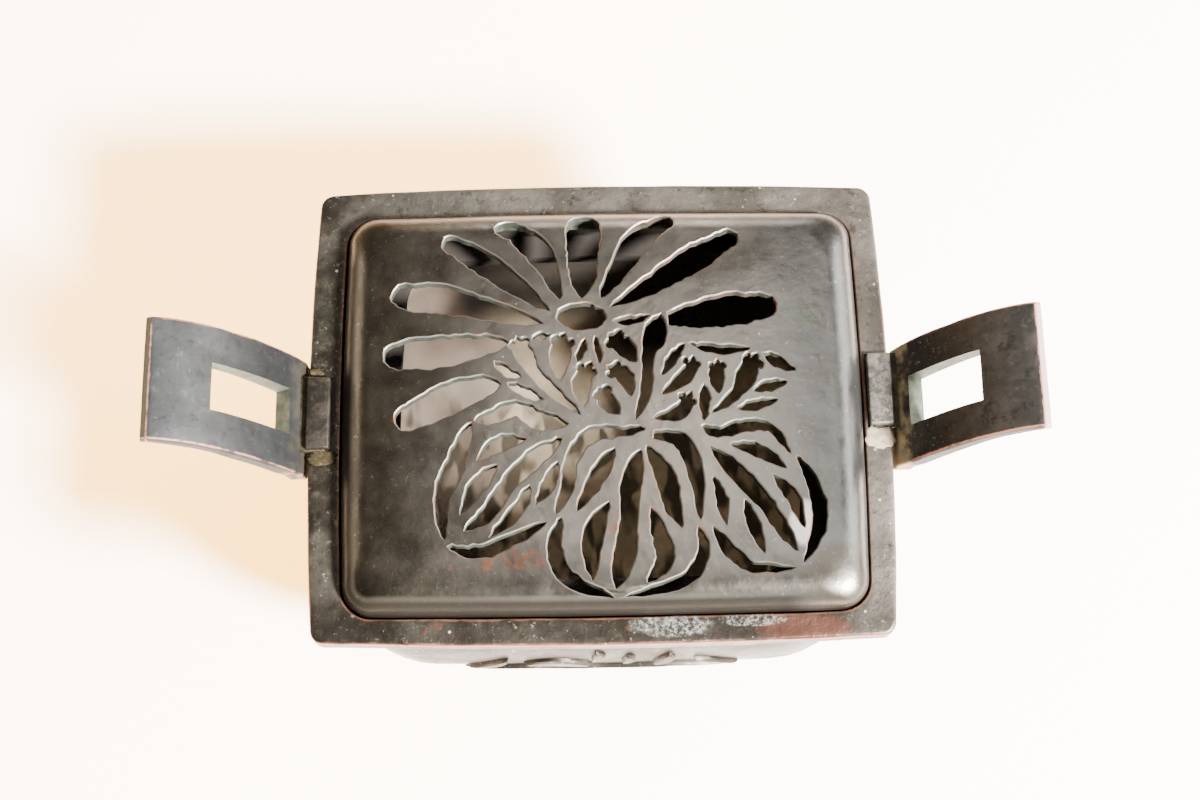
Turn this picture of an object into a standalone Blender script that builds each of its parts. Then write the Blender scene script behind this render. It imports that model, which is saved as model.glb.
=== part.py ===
"""A rectangular bronze incense burner with an openwork lid and two plate handles.

The burner stands on the floor at z = 0 with its middle on the origin. X runs along its length through
both handles, and the front, with the lower edge of the lid's leaves, faces -Y. Sizes are in millimetres
and are turned into metres when a mesh is made.
"""
import math

import bmesh
import bpy
from mathutils import Matrix

MM = 0.001

# Body
BODY_HEIGHT = 92.0
RIM_LENGTH = 150.0
RIM_DEPTH = 124.0
RIM_THICKNESS = 5.5
RIM_CORNER = 4.5
RIM_EDGE = 0.8
END_BOW = 2.1
SIDE_BOW = 1.6
BAND_WIDTH = 7.2
NECK_INSET = 8.0
NECK_HEIGHT = 80.0
NECK_CORNER = 12.0
BELLY_LENGTH = 142.0
BELLY_DEPTH = 119.0
BELLY_HEIGHT = 58.0
BELLY_CORNER = 24.0
BASE_LENGTH = 104.0
BASE_DEPTH = 84.0
BASE_CORNER = 18.0
WALL = 4.5
FLOOR_THICKNESS = 5.0

# Ledge that carries the lid
LEDGE_DROP = 5.6
LEDGE_THICKNESS = 4.0
MOUTH_LENGTH = 104.0
MOUTH_DEPTH = 88.0
MOUTH_CORNER = 10.0

# Legs
LEG_HEIGHT = 26.0
LEG_SINK = 3.0
LEG_TOP_WIDTH = 25.0
LEG_ANKLE_WIDTH = 12.0
LEG_ANKLE_HEIGHT = 8.0
LEG_FOOT_WIDTH = 15.0
LEG_FOOT_HEIGHT = 2.8
LEG_FLARE_WIDTH = 16.0
LEG_FLARE_HEIGHT = 18.0
LEG_LEAN = 0.1
LEG_CORNER_SHARE = 0.32
LEG_SPREAD_X = 82.0
LEG_SPREAD_Y = 62.0

# Lid
LID_CLEARANCE = 1.1
REST_GAP = 0.3
LID_CORNER = 7.0
LID_END_BOW = 1.1
LID_SIDE_BOW = 0.7
LID_SHIFT_X = 0.7
LID_SHIFT_Y = -0.7
LID_EDGE_RISE = 0.6
SHOULDER_RISE = 6.7
SHOULDER_WIDTH = 8.0
CROWN_RISE = 1.8
CROWN_SHARE = 0.7
LID_PLATE = 2.8
LID_FOOT_WALL = 3.2
CORNER_GROWTH = 0.35
CORNER_LIMIT = 0.4
OPENING_OVERRUN = 3.0

# Handles: one curve for both plates
HANDLE_THICKNESS = 5.0
TIP_THICKNESS = 3.0
TIP_CHAMFER = 1.4
TIP_CHAMFER_DROP = 0.7
CURVE_REACH = 33.0
CURVE_RISE = 36.5
CURVE_STEEPNESS = 1.775
HANDLE_START = 3.0
HANDLE_FOOT_DROP = 6.5
HANDLE_EDGE = 0.8
ROOT_TAPER = 1.0
ROOT_TAPER_LENGTH = 6.0
TAB_LENGTH = 5.8
TAB_WIDTH = 19.3
TAB_RISE = 2.2
NOTCH_DEPTH = 1.2
NOTCH_CLEARANCE = 0.3
NOTCH_OVERRUN = 2.0

# Each plate was fitted by hand, so its reach, window and tab are its own
RIGHT_REACH = 31.5
RIGHT_WIDTH = 32.2
RIGHT_MIDDLE_Y = -1.1
RIGHT_WINDOW_LENGTH = 24.8
RIGHT_WINDOW_WIDTH = 13.1
RIGHT_WINDOW_MIDDLE = 10.8
RIGHT_TAB_Y = 3.3
LEFT_REACH = 33.8
LEFT_WIDTH = 31.5
LEFT_MIDDLE_Y = -1.3
LEFT_WINDOW_LENGTH = 26.8
LEFT_WINDOW_WIDTH = 12.1
LEFT_WINDOW_MIDDLE = 11.3
LEFT_TAB_Y = -0.9

# Relief on the belly's front and back, as strokes like the lid's: (x, height, width) at a few places
RELIEF_RISE = 1.3
RELIEF_SINK = 2.0
RELIEF = {
    "stem": ((-37.0, 47.0, 0), (-22.0, 51.5, 2.0), (-2.0, 50.0, 2.4), (18.0, 52.5, 2.0), (36.0, 47.5, 0)),
    "leaf 1": ((-21.0, 56.5, 0), (-12.0, 58.0, 6.5), (-3.0, 55.0, 0)),
    "leaf 2": ((13.5, 55.5, 0), (16.5, 60.0, 4.6), (17.5, 65.5, 0)),
    "leaf 3": ((-2.0, 45.5, 0), (-11.0, 44.5, 5.0), (-19.0, 38.5, 0)),
    "leaf 4": ((4.0, 45.5, 0), (13.0, 45.5, 5.0), (21.0, 40.0, 0)),
    "leaf 5": ((-36.0, 52.0, 0), (-29.0, 56.0, 4.0), (-25.0, 61.5, 0)),
    "leaf 6": ((36.0, 52.5, 0), (29.0, 56.0, 4.0), (24.0, 60.5, 0)),
    "bud 1": ((-3.0, 61.0, 0), (-1.0, 64.5, 3.4), (-2.0, 68.0, 0)),
    "bud 2": ((5.0, 58.5, 0), (7.0, 61.5, 3.2), (6.5, 65.0, 0)),
}

# The lid's openings, in millimetres from the middle of the lid. Each is one stroke of the fret saw:
# (x, y, width) at a few places along it, with width 0 where the stroke ends in a point.
PETALS = {
    "petal 1": ((-52.5, -5.4, 0), (-48.4, -3.6, 6.6), (-40.6, 0.0, 8.6), (-32.2, 3.3, 6.6),
                (-25.6, 4.5, 0)),
    "petal 2": ((-55.3, 11.5, 0), (-50.4, 13.0, 7.4), (-40.2, 13.5, 8.4), (-30.7, 14.9, 5.6),
                (-23.5, 15.6, 0)),
    "petal 3": ((-53.5, 30.6, 0), (-48.8, 28.6, 7.0), (-40.3, 27.9, 8.0), (-30.0, 25.0, 5.7),
                (-14.8, 20.6, 0)),
    "petal 4": ((-40.9, 44.0, 0), (-37.2, 42.6, 5.2), (-29.4, 37.4, 7.0), (-22.7, 32.0, 5.2),
                (-13.2, 24.1, 0)),
    "petal 5": ((-27.1, 48.0, 0), (-22.1, 46.6, 5.2), (-16.4, 41.4, 7.3), (-12.8, 34.6, 4.4),
                (-10.6, 27.4, 0)),
    "petal 6": ((-4.0, 51.4, 0), (-4.1, 47.7, 8.4), (-4.4, 41.5, 8.1), (-4.5, 35.3, 7.3), (-4.9, 27.6, 0)),
    "petal 7": ((19.5, 49.8, 0), (15.0, 47.9, 5.2), (9.7, 43.2, 7.4), (4.8, 35.5, 4.7), (0.0, 27.5, 0)),
    "petal 8": ((35.8, 45.3, 0), (30.8, 42.3, 5.7), (22.8, 37.4, 7.6), (14.6, 32.0, 5.5), (2.5, 24.9, 0)),
    "petal 9": ((45.4, 25.4, 0), (39.2, 24.4, 7.5), (31.7, 23.7, 9.0), (23.4, 22.2, 6.8),
                (17.4, 21.5, 3.4)),
}
SPRAYS = {
    "right bud": ((40.9, 11.9, 0), (44.8, 9.5, 3.2), (49.4, 7.1, 0)),
    "right calyx": ((22.2, 14.6, 0), (29.7, 12.9, 2.8), (38.2, 13.2, 0)),
    "centre notch": ((3.0, 21.1, 0), (7.9, 21.1, 2.4), (12.3, 22.4, 0)),
    "left notch": ((-17.4, 16.6, 0), (-15.3, 17.1, 1.8), (-13.0, 17.6, 0)),
    "left stem": ((-21.7, 17.2, 0), (-20.0, 12.8, 4.6), (-17.7, 8.4, 3.2), (-12.7, 2.5, 3.0),
                  (-5.6, -4.1, 0)),
    "left bud 1": ((-27.4, 10.5, 0), (-24.1, 7.7, 2.6), (-20.4, 6.1, 0)),
    "left bud 2": ((-23.8, 4.5, 0), (-19.8, 2.3, 3.0), (-14.9, 0.1, 0)),
    "centre bud 1": ((-9.4, 17.8, 0), (-10.5, 12.4, 5.4), (-10.6, 5.4, 0)),
    "centre bud 2": ((-4.3, 16.1, 0), (-5.1, 13.1, 2.0), (-6.2, 10.4, 0)),
    "centre bud 3": ((-1.7, 17.1, 0), (-0.9, 13.6, 1.8), (-0.5, 9.7, 0)),
    "centre bud 4": ((1.9, 17.6, 0), (5.7, 14.0, 5.2), (8.9, 9.6, 0)),
    "centre bud 5": ((1.2, 8.9, 0), (5.5, 6.2, 4.4), (7.2, 0.8, 0)),
    "centre heart": ((-2.6, 10.1, 0), (-5.3, 4.5, 4.8), (-4.8, -1.9, 0)),
    "centre bud 6": ((-1.2, 3.3, 0), (1.3, -0.7, 4.6), (4.3, -4.2, 0)),
    "centre stem": ((15.4, 22.9, 0), (13.7, 17.1, 6.2), (11.8, 11.7, 3.0), (11.0, 2.3, 3.0),
                    (8.3, -5.6, 0)),
    "right bud 1": ((21.0, 14.3, 0), (17.9, 10.6, 2.8), (15.2, 6.0, 0)),
    "right bud 2": ((23.3, 11.3, 0), (21.6, 6.4, 3.9), (15.0, 0.9, 0)),
    "right bud 3": ((29.4, 10.1, 0), (29.2, 6.1, 3.9), (29.5, 1.0, 0)),
    "right stem": ((39.7, 11.8, 0), (36.9, 6.5, 5.2), (34.4, 1.4, 3.0), (27.6, -4.1, 0)),
    "right bud 4": ((38.3, 1.6, 0), (42.6, 3.1, 3.1), (46.8, 4.1, 0)),
    "right bud 5": ((33.9, -3.1, 0), (38.8, -2.1, 2.9), (44.5, -0.6, 0)),
    "right bud 6": ((25.8, 3.4, 0), (25.9, -0.3, 2.9), (25.5, -5.9, 0)),
    "right bud 7": ((22.7, 1.9, 0), (19.7, -3.5, 4.1), (12.9, -5.2, 0)),
}
LEAVES = {
    "left leaf crest": ((-32.2, -5.2, 0), (-27.7, -4.2, 3.8), (-22.1, -2.2, 4.0), (-16.0, -5.2, 5.0),
                        (-8.7, -6.4, 0)),
    "left leaf vein 1": ((-31.7, -15.5, 0), (-26.2, -11.4, 4.1), (-19.4, -10.2, 0)),
    "left leaf border": ((-33.2, -5.7, 0), (-35.3, -11.0, 3.6), (-38.0, -18.3, 5.1), (-40.5, -25.7, 3.6),
                         (-39.9, -36.0, 0)),
    "left leaf vein 2": ((-26.7, -16.9, 0), (-31.7, -22.3, 4.3), (-35.9, -29.4, 0)),
    "left leaf middle": ((-10.5, -10.3, 0), (-17.6, -15.5, 4.8), (-24.4, -22.4, 4.1), (-29.2, -29.3, 3.9),
                         (-34.9, -33.6, 0)),
    "left leaf vein 3": ((-18.7, -22.4, 0), (-21.6, -28.4, 3.4), (-28.9, -35.5, 0)),
    "left leaf vein 4": ((-11.6, -16.3, 0), (-13.9, -21.8, 3.3), (-17.2, -27.4, 0)),
    "left leaf foot": ((-38.9, -37.6, 0), (-31.4, -39.0, 3.2), (-23.2, -36.1, 3.2), (-14.5, -31.8, 0)),
    "centre leaf crest": ((10.8, -8.0, 0), (4.7, -8.7, 2.6), (-2.7, -9.4, 4.0), (-7.8, -15.1, 3.4),
                          (-9.2, -22.6, 3.2), (-12.2, -29.8, 0)),
    "centre leaf vein 1": ((2.8, -12.9, 0), (-1.1, -19.4, 4.2), (-7.0, -29.4, 0)),
    "centre leaf middle": ((9.4, -13.3, 0), (6.9, -21.4, 5.0), (5.9, -31.2, 4.2), (4.8, -40.1, 5.5),
                           (2.3, -48.9, 0)),
    "centre leaf vein 2": ((10.9, -12.5, 0), (15.2, -20.2, 5.0), (16.8, -27.2, 4.3), (19.1, -33.7, 0)),
    "centre leaf border": ((12.8, -9.7, 2.0), (19.3, -11.1, 4.0), (22.8, -18.5, 3.8), (23.9, -31.9, 0)),
    "centre leaf left foot": ((-10.8, -30.6, 0), (-12.6, -38.0, 3.5), (-9.5, -45.7, 3.8), (2.0, -50.7, 0)),
    "centre leaf vein 3": ((1.0, -27.0, 0), (-3.1, -35.6, 5.2), (-3.3, -46.5, 0)),
    "centre leaf vein 4": ((11.5, -28.4, 0), (13.8, -35.7, 4.0), (14.6, -41.8, 4.4), (10.3, -47.2, 0)),
    "centre leaf right foot": ((23.1, -33.4, 0), (24.4, -39.9, 3.0), (19.4, -46.7, 3.0), (4.6, -50.6, 0)),
    "right leaf crest": ((24.6, -7.5, 0), (28.9, -9.2, 2.8), (35.1, -7.7, 3.3), (42.1, -8.0, 2.5),
                         (47.1, -15.0, 0)),
    "right leaf vein 1": ((31.9, -12.4, 0), (39.1, -14.1, 3.6), (45.7, -18.7, 0)),
    "right leaf middle": ((26.8, -12.8, 0), (33.3, -19.7, 4.6), (40.0, -27.4, 4.1), (44.2, -34.1, 3.4),
                          (47.7, -39.8, 0)),
    "right leaf vein 2": ((27.5, -20.7, 0), (29.3, -26.9, 3.0), (30.3, -33.1, 0)),
    "right leaf vein 3": ((35.1, -26.6, 0), (37.3, -33.5, 3.3), (39.5, -40.2, 0)),
    "right leaf vein 4": ((42.1, -20.1, 0), (47.1, -26.2, 3.5), (49.7, -34.0, 0)),
    "right leaf border": ((48.6, -15.5, 0), (52.4, -22.6, 3.3), (53.7, -32.5, 3.6), (49.0, -43.2, 0)),
    "right leaf foot": ((26.8, -33.3, 0), (31.1, -39.8, 3.4), (36.6, -43.7, 2.7), (47.0, -44.1, 0)),
}
CENTRE_HOLE = (-5.0, 22.4)
CENTRE_HOLE_LENGTH = 12.6
CENTRE_HOLE_DEPTH = 7.4


def clear_scene():
    """Start from nothing, so the script can be run twice."""
    for item in list(bpy.data.objects):
        bpy.data.objects.remove(item)


def new_collection(name):
    group = bpy.data.collections.new(name)
    bpy.context.scene.collection.children.link(group)
    return group


def metal(name, colour, roughness):
    """A Principled material for patinated bronze."""
    material = bpy.data.materials.new(name)
    material.use_nodes = True
    shader = material.node_tree.nodes["Principled BSDF"]
    shader.inputs["Base Color"].default_value = (*colour, 1.0)
    shader.inputs["Roughness"].default_value = roughness
    shader.inputs["Metallic"].default_value = 0.9
    return material


def add_object(name, form, group, material=None):
    """Wrap a bmesh, in millimetres, as an object in metres."""
    bmesh.ops.scale(form, vec=(MM, MM, MM), verts=form.verts)
    bmesh.ops.recalc_face_normals(form, faces=form.faces)
    mesh = bpy.data.meshes.new(name)
    form.to_mesh(mesh)
    form.free()
    item = bpy.data.objects.new(name, mesh)
    if material:
        mesh.materials.append(material)
        mesh.shade_smooth()
        mesh.set_sharp_from_angle(angle=math.radians(32))
    group.objects.link(item)
    return item


def boolean(item, tool, operation):
    """Cut or join item with another object, which stays only as a hidden tool."""
    step = item.modifiers.new(operation.title() + " " + tool.name, "BOOLEAN")
    step.operation = operation
    step.object = tool
    tool.hide_render = True
    tool.display_type = "WIRE"


def bowed_outline(length, depth, corner, end_bow, side_bow, corner_steps=5, side_steps=4):
    """A rounded rectangle, counter-clockwise, whose four sides swell outwards in a shallow curve."""
    half_x, half_y = length / 2, depth / 2
    reach_x, reach_y = half_x - corner, half_y - corner
    points = []
    for turn, (side_x, side_y) in enumerate(((1, 1), (-1, 1), (-1, -1), (1, -1))):
        start = math.radians(90 * turn)
        for step in range(corner_steps + 1):
            angle = start + math.radians(90) * step / corner_steps
            points.append((side_x * reach_x + corner * math.cos(angle),
                           side_y * reach_y + corner * math.sin(angle)))
        along_x = turn % 2 == 0
        for step in range(1, side_steps):
            share = 1 - 2 * step / side_steps
            if along_x:
                points.append((side_x * reach_x * share, side_y * half_y))
            else:
                points.append((side_x * half_x, side_y * reach_y * share))
    return [(x * (1 - end_bow * (y / half_y) ** 2 / half_x), y * (1 - side_bow * (x / half_x) ** 2 / half_y))
            for x, y in points]


def skinned(rings):
    """Join closed rings of equally many points, (x, y, z) each, into one closed skin."""
    form = bmesh.new()
    rings = [[form.verts.new(point) for point in ring] for ring in rings]
    for lower, upper in zip(rings, rings[1:]):
        count = len(lower)
        for index in range(count):
            after = (index + 1) % count
            form.faces.new((lower[index], lower[after], upper[after], upper[index]))
    form.faces.new(list(reversed(rings[0])))
    form.faces.new(rings[-1])
    return form


def loft(sections):
    """A skin through level outlines, each given as (points, z)."""
    return skinned([[(x, y, height) for x, y in points] for points, height in sections])


def body_section(length, depth, corner, height):
    return bowed_outline(length, depth, corner, END_BOW, SIDE_BOW), height


def rim_section(inset, height):
    """The rim's own outline, moved in by an inset."""
    return body_section(RIM_LENGTH - 2 * inset, RIM_DEPTH - 2 * inset, RIM_CORNER, height)


def opening_section(inset, height):
    """The edge of the well that the lid drops into, which follows the lid's own outline."""
    return bowed_outline(RIM_LENGTH - 2 * (BAND_WIDTH + inset), RIM_DEPTH - 2 * (BAND_WIDTH + inset),
                         LID_CORNER + LID_CLEARANCE / 2, LID_END_BOW, LID_SIDE_BOW), height


def swell(share):
    """Share of the way from base to belly, along a quarter of an ellipse."""
    return math.sin(math.radians(90) * share)


def rise(share):
    return 1 - math.cos(math.radians(90) * share)


def between(start, end, share):
    return start + (end - start) * share


def lower_wall(inset, bottom, steps=5):
    """Sections from the base out to the belly, for the outside or, moved in by the wall, the inside."""
    sections = []
    for step in range(steps + 1):
        share = step / steps
        out = swell(share)
        sections.append(body_section(between(BASE_LENGTH, BELLY_LENGTH, out) - 2 * inset,
                                     between(BASE_DEPTH, BELLY_DEPTH, out) - 2 * inset,
                                     between(BASE_CORNER, BELLY_CORNER, out) - inset,
                                     between(bottom, BELLY_HEIGHT, rise(share))))
    return sections


def shoulder_wall(inset, top, steps=3):
    """Sections from the belly in to the neck."""
    sections = []
    for step in range(1, steps + 1):
        share = step / steps
        pull = rise(share)
        sections.append(body_section(between(BELLY_LENGTH, RIM_LENGTH - 2 * NECK_INSET, pull) - 2 * inset,
                                     between(BELLY_DEPTH, RIM_DEPTH - 2 * NECK_INSET, pull) - 2 * inset,
                                     between(BELLY_CORNER, NECK_CORNER, pull) - inset,
                                     between(BELLY_HEIGHT, top, swell(share))))
    return sections


def neck_section(inset, height):
    return body_section(RIM_LENGTH - 2 * (NECK_INSET + inset), RIM_DEPTH - 2 * (NECK_INSET + inset),
                        NECK_CORNER - inset, height)


def vessel_sections():
    """The whole skin in one run: up the outside, over the rim and ledge, and down the inside to the floor."""
    rim_bottom = BODY_HEIGHT - RIM_THICKNESS
    ledge_top = BODY_HEIGHT - LEDGE_DROP
    ledge_bottom = ledge_top - LEDGE_THICKNESS
    outside = lower_wall(0, LEG_HEIGHT) + shoulder_wall(0, NECK_HEIGHT)
    outside.append(neck_section(0, rim_bottom))
    rim = [rim_section(RIM_EDGE, rim_bottom), rim_section(0, rim_bottom + RIM_EDGE),
           rim_section(0, BODY_HEIGHT - RIM_EDGE), rim_section(RIM_EDGE, BODY_HEIGHT)]
    well = [opening_section(-RIM_EDGE / 2, BODY_HEIGHT), opening_section(0, BODY_HEIGHT - RIM_EDGE / 2),
            opening_section(0, ledge_top)]
    ledge = [body_section(MOUTH_LENGTH, MOUTH_DEPTH, MOUTH_CORNER, ledge_top),
             body_section(MOUTH_LENGTH, MOUTH_DEPTH, MOUTH_CORNER, ledge_bottom),
             neck_section(WALL, ledge_bottom)]
    inside_neck = list(reversed(shoulder_wall(WALL, min(NECK_HEIGHT, ledge_bottom - WALL))))
    inside = inside_neck + list(reversed(lower_wall(WALL, LEG_HEIGHT + FLOOR_THICKNESS, steps=4)))
    return outside + rim + well + ledge + inside


def leg(side_x, side_y, group):
    """One short leg: wide where it leaves the belly, narrow at the ankle, spread again at the sole."""
    middle_x, middle_y = side_x * LEG_SPREAD_X / 2, side_y * LEG_SPREAD_Y / 2
    levels = ((LEG_FOOT_WIDTH, 0.0), (LEG_FOOT_WIDTH, LEG_FOOT_HEIGHT), (LEG_ANKLE_WIDTH, LEG_ANKLE_HEIGHT),
              (LEG_FLARE_WIDTH, LEG_FLARE_HEIGHT), (LEG_TOP_WIDTH, LEG_HEIGHT),
              (LEG_TOP_WIDTH, LEG_HEIGHT + LEG_SINK))
    sections = []
    for width, height in levels:
        lean = (width - LEG_FOOT_WIDTH) * LEG_LEAN
        outline = bowed_outline(width, width, width * LEG_CORNER_SHARE, 0, 0, corner_steps=3, side_steps=1)
        foot_x, foot_y = middle_x - side_x * lean, middle_y - side_y * lean
        sections.append(([(foot_x + x, foot_y + y) for x, y in outline], height))
    return add_object("leg tool", loft(sections), group)


def belly_surface(x, height):
    """Half the belly's depth at a place on its front or back."""
    half_x = BELLY_LENGTH / 2
    if height < BELLY_HEIGHT:
        climb = 1 - (height - LEG_HEIGHT) / (BELLY_HEIGHT - LEG_HEIGHT)
        depth = between(BASE_DEPTH, BELLY_DEPTH, math.sqrt(1 - climb ** 2))
    else:
        climb = (height - BELLY_HEIGHT) / (NECK_HEIGHT - BELLY_HEIGHT)
        depth = between(BELLY_DEPTH, RIM_DEPTH - 2 * NECK_INSET, 1 - math.sqrt(1 - climb ** 2))
    return depth / 2 - SIDE_BOW * (x / half_x) ** 2


def relief_spray(group):
    """The same low spray of leaves and buds on the front and the back."""
    form = bmesh.new()
    for side in (-1, 1):
        for stroke in RELIEF.values():
            skin = [(x, height, belly_surface(x, height)) for x, height in stroke_outline(stroke)]
            inner = [form.verts.new((x, side * (depth - RELIEF_SINK), height)) for x, height, depth in skin]
            prism = bmesh.ops.extrude_face_region(form, geom=[form.faces.new(inner)])["geom"]
            raised = [part for part in prism if isinstance(part, bmesh.types.BMVert)]
            bmesh.ops.translate(form, verts=raised, vec=(0, side * (RELIEF_SINK + RELIEF_RISE), 0))
    return add_object("relief tool", form, group)


def tab_notches(group):
    """Boxes that sink the two tabs a little way into the rim."""
    form = bmesh.new()
    for side, tab_y in ((1, RIGHT_TAB_Y), (-1, LEFT_TAB_Y)):
        inner = RIM_LENGTH / 2 - TAB_LENGTH - NOTCH_CLEARANCE
        outer = RIM_LENGTH / 2 + NOTCH_OVERRUN
        cube = bmesh.ops.create_cube(form, size=1.0)["verts"]
        width = TAB_WIDTH + 2 * NOTCH_CLEARANCE
        bmesh.ops.scale(form, verts=cube, vec=(outer - inner, width, 2 * NOTCH_DEPTH))
        bmesh.ops.translate(form, verts=cube, vec=(side * (inner + outer) / 2, tab_y, BODY_HEIGHT))
    return add_object("notch cutter", form, group)


def make_body(parts, tools):
    body = add_object("body", loft(vessel_sections()), parts, metal("body bronze", (0.075, 0.062, 0.05), 0.5))
    for side_x in (-1, 1):
        for side_y in (-1, 1):
            boolean(body, leg(side_x, side_y, tools), "UNION")
    boolean(body, relief_spray(tools), "UNION")
    boolean(body, tab_notches(tools), "DIFFERENCE")
    return body


def lid_section(inset, height):
    """The lid's outline, moved in by an inset and rounded more the further in it lies."""
    length = RIM_LENGTH - 2 * (BAND_WIDTH + LID_CLEARANCE + inset)
    depth = RIM_DEPTH - 2 * (BAND_WIDTH + LID_CLEARANCE + inset)
    corner = min(LID_CORNER + inset * CORNER_GROWTH, depth * CORNER_LIMIT)
    outline = bowed_outline(length, depth, corner, LID_END_BOW, LID_SIDE_BOW)
    return [(x + LID_SHIFT_X, y + LID_SHIFT_Y) for x, y in outline], height


def dome_sections(inset, drop, shoulder_steps=4, crown_steps=3):
    """From the lid's edge up the rounded shoulder to the nearly flat crown."""
    edge = BODY_HEIGHT + LID_EDGE_RISE - drop
    sections = []
    for step in range(shoulder_steps + 1):
        angle = math.radians(90) * step / shoulder_steps
        sections.append(lid_section(inset + (SHOULDER_WIDTH - inset / 2) * (1 - math.cos(angle)),
                                    edge + SHOULDER_RISE * math.sin(angle)))
    crown_start = inset / 2 + SHOULDER_WIDTH
    crown_end = RIM_DEPTH / 2 * CROWN_SHARE
    for step in range(1, crown_steps + 1):
        share = step / crown_steps
        sections.append(lid_section(between(crown_start, crown_end, share),
                                    edge + SHOULDER_RISE + CROWN_RISE * (1 - (1 - share) ** 2)))
    return sections


def stroke_samples(stroke, round_start, steps):
    """Points along a smooth line through the stroke's places, each with its width."""
    last = len(stroke) - 1
    samples = []
    for index in range(last):
        before, start = stroke[max(index - 1, 0)], stroke[index]
        end, after = stroke[index + 1], stroke[min(index + 2, last)]
        for step in range(steps):
            share = step / steps
            place = [smooth(a, b, c, d, share) for a, b, c, d in zip(before, start, end, after)]
            if start[2] == 0:
                place[2] = end[2] * (math.sqrt(1 - (1 - share) ** 2) if round_start and index == 0
                                     else math.sin(math.radians(90) * share))
            elif end[2] == 0:
                place[2] = start[2] * math.sin(math.radians(90) * (1 - share))
            samples.append(place)
    samples.append(list(stroke[last]))
    return samples


def smooth(before, start, end, after, share):
    """A Catmull-Rom curve between start and end."""
    return 0.5 * (2 * start + (end - before) * share
                  + (2 * before - 5 * start + 4 * end - after) * share ** 2
                  + (3 * start - before - 3 * end + after) * share ** 3)


def stroke_outline(stroke, round_start=False, steps=2):
    """The closed outline of one opening: down one side of the stroke and back up the other."""
    samples = stroke_samples(stroke, round_start, steps)
    left, right = [], []
    for index, (x, y, width) in enumerate(samples):
        back, ahead = samples[max(index - 1, 0)], samples[min(index + 1, len(samples) - 1)]
        run_x, run_y = ahead[0] - back[0], ahead[1] - back[1]
        size = math.hypot(run_x, run_y)
        across_x, across_y = -run_y / size * width / 2, run_x / size * width / 2
        left.append((x + across_x, y + across_y))
        if width > 0:
            right.append((x - across_x, y - across_y))
    return left + right[::-1]


def oval_outline(middle, length, depth, count=16):
    return [(middle[0] + length / 2 * math.cos(math.tau * step / count),
             middle[1] + depth / 2 * math.sin(math.tau * step / count)) for step in range(count)]


def opening_outlines():
    outlines = [stroke_outline(stroke, round_start=True) for stroke in PETALS.values()]
    outlines += [stroke_outline(stroke) for stroke in SPRAYS.values()]
    outlines += [stroke_outline(stroke) for stroke in LEAVES.values()]
    outlines.append(oval_outline(CENTRE_HOLE, CENTRE_HOLE_LENGTH, CENTRE_HOLE_DEPTH))
    return outlines


def opening_cutters(group):
    """Every opening as an upright prism, all in one tool."""
    bottom = BODY_HEIGHT + LID_EDGE_RISE
    top = bottom + SHOULDER_RISE + CROWN_RISE + OPENING_OVERRUN
    form = bmesh.new()
    for outline in opening_outlines():
        lower = [form.verts.new((x + LID_SHIFT_X, y + LID_SHIFT_Y, bottom)) for x, y in outline]
        prism = bmesh.ops.extrude_face_region(form, geom=[form.faces.new(lower)])["geom"]
        raised = [part for part in prism if isinstance(part, bmesh.types.BMVert)]
        bmesh.ops.translate(form, verts=raised, vec=(0, 0, top - bottom))
    return add_object("opening cutter", form, group)


def make_lid(parts, tools):
    foot = BODY_HEIGHT - LEDGE_DROP + REST_GAP
    inside = list(reversed(dome_sections(LID_FOOT_WALL, LID_PLATE)))
    sections = inside + [lid_section(LID_FOOT_WALL, foot), lid_section(0, foot)] + dome_sections(0, 0)
    lid = add_object("lid", loft(sections), parts, metal("lid bronze", (0.2, 0.18, 0.155), 0.42))
    boolean(lid, opening_cutters(tools), "DIFFERENCE")
    return lid


def inner_face(out):
    """Height of the plate's inner face over the rim, and its slope, at a distance out from the rim's edge."""
    share = out / CURVE_REACH
    height = CURVE_RISE * (CURVE_STEEPNESS * share - (CURVE_STEEPNESS - 1) * share ** 2) - HANDLE_START
    slope = CURVE_RISE / CURVE_REACH * (CURVE_STEEPNESS - 2 * (CURVE_STEEPNESS - 1) * share)
    return height, slope


def through_plate(out, depth):
    """The point a depth behind the inner face, square to it."""
    height, slope = inner_face(out)
    size = math.hypot(1, slope)
    return out + depth * slope / size, height - depth / size


def handle_profile(reach, steps=9):
    """The plate seen from the side: its inner face from foot to tip, then its outer face back down."""
    root = REST_GAP + HANDLE_EDGE / 2
    inner = [(REST_GAP, -HANDLE_FOOT_DROP)]
    outer = [(HANDLE_THICKNESS + REST_GAP, -HANDLE_FOOT_DROP)]
    for step in range(steps + 1):
        share = step / steps
        inner.append(through_plate(between(root, reach, share), 0))
        outer.append(through_plate(between(root + HANDLE_EDGE, reach, share),
                                   between(HANDLE_THICKNESS, TIP_THICKNESS, share)))
    tip = [through_plate(reach + TIP_CHAMFER, depth) for depth in (TIP_CHAMFER_DROP, TIP_THICKNESS)]
    return [(RIM_LENGTH / 2 + x, BODY_HEIGHT + z) for x, z in inner + tip + outer[::-1]]


def half_width(width, x):
    """Half the plate's width, which draws in a little where the plate leaves the rim."""
    out = min(max(x - RIM_LENGTH / 2, 0), ROOT_TAPER_LENGTH)
    return width / 2 - ROOT_TAPER * (1 - out / ROOT_TAPER_LENGTH)


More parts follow.
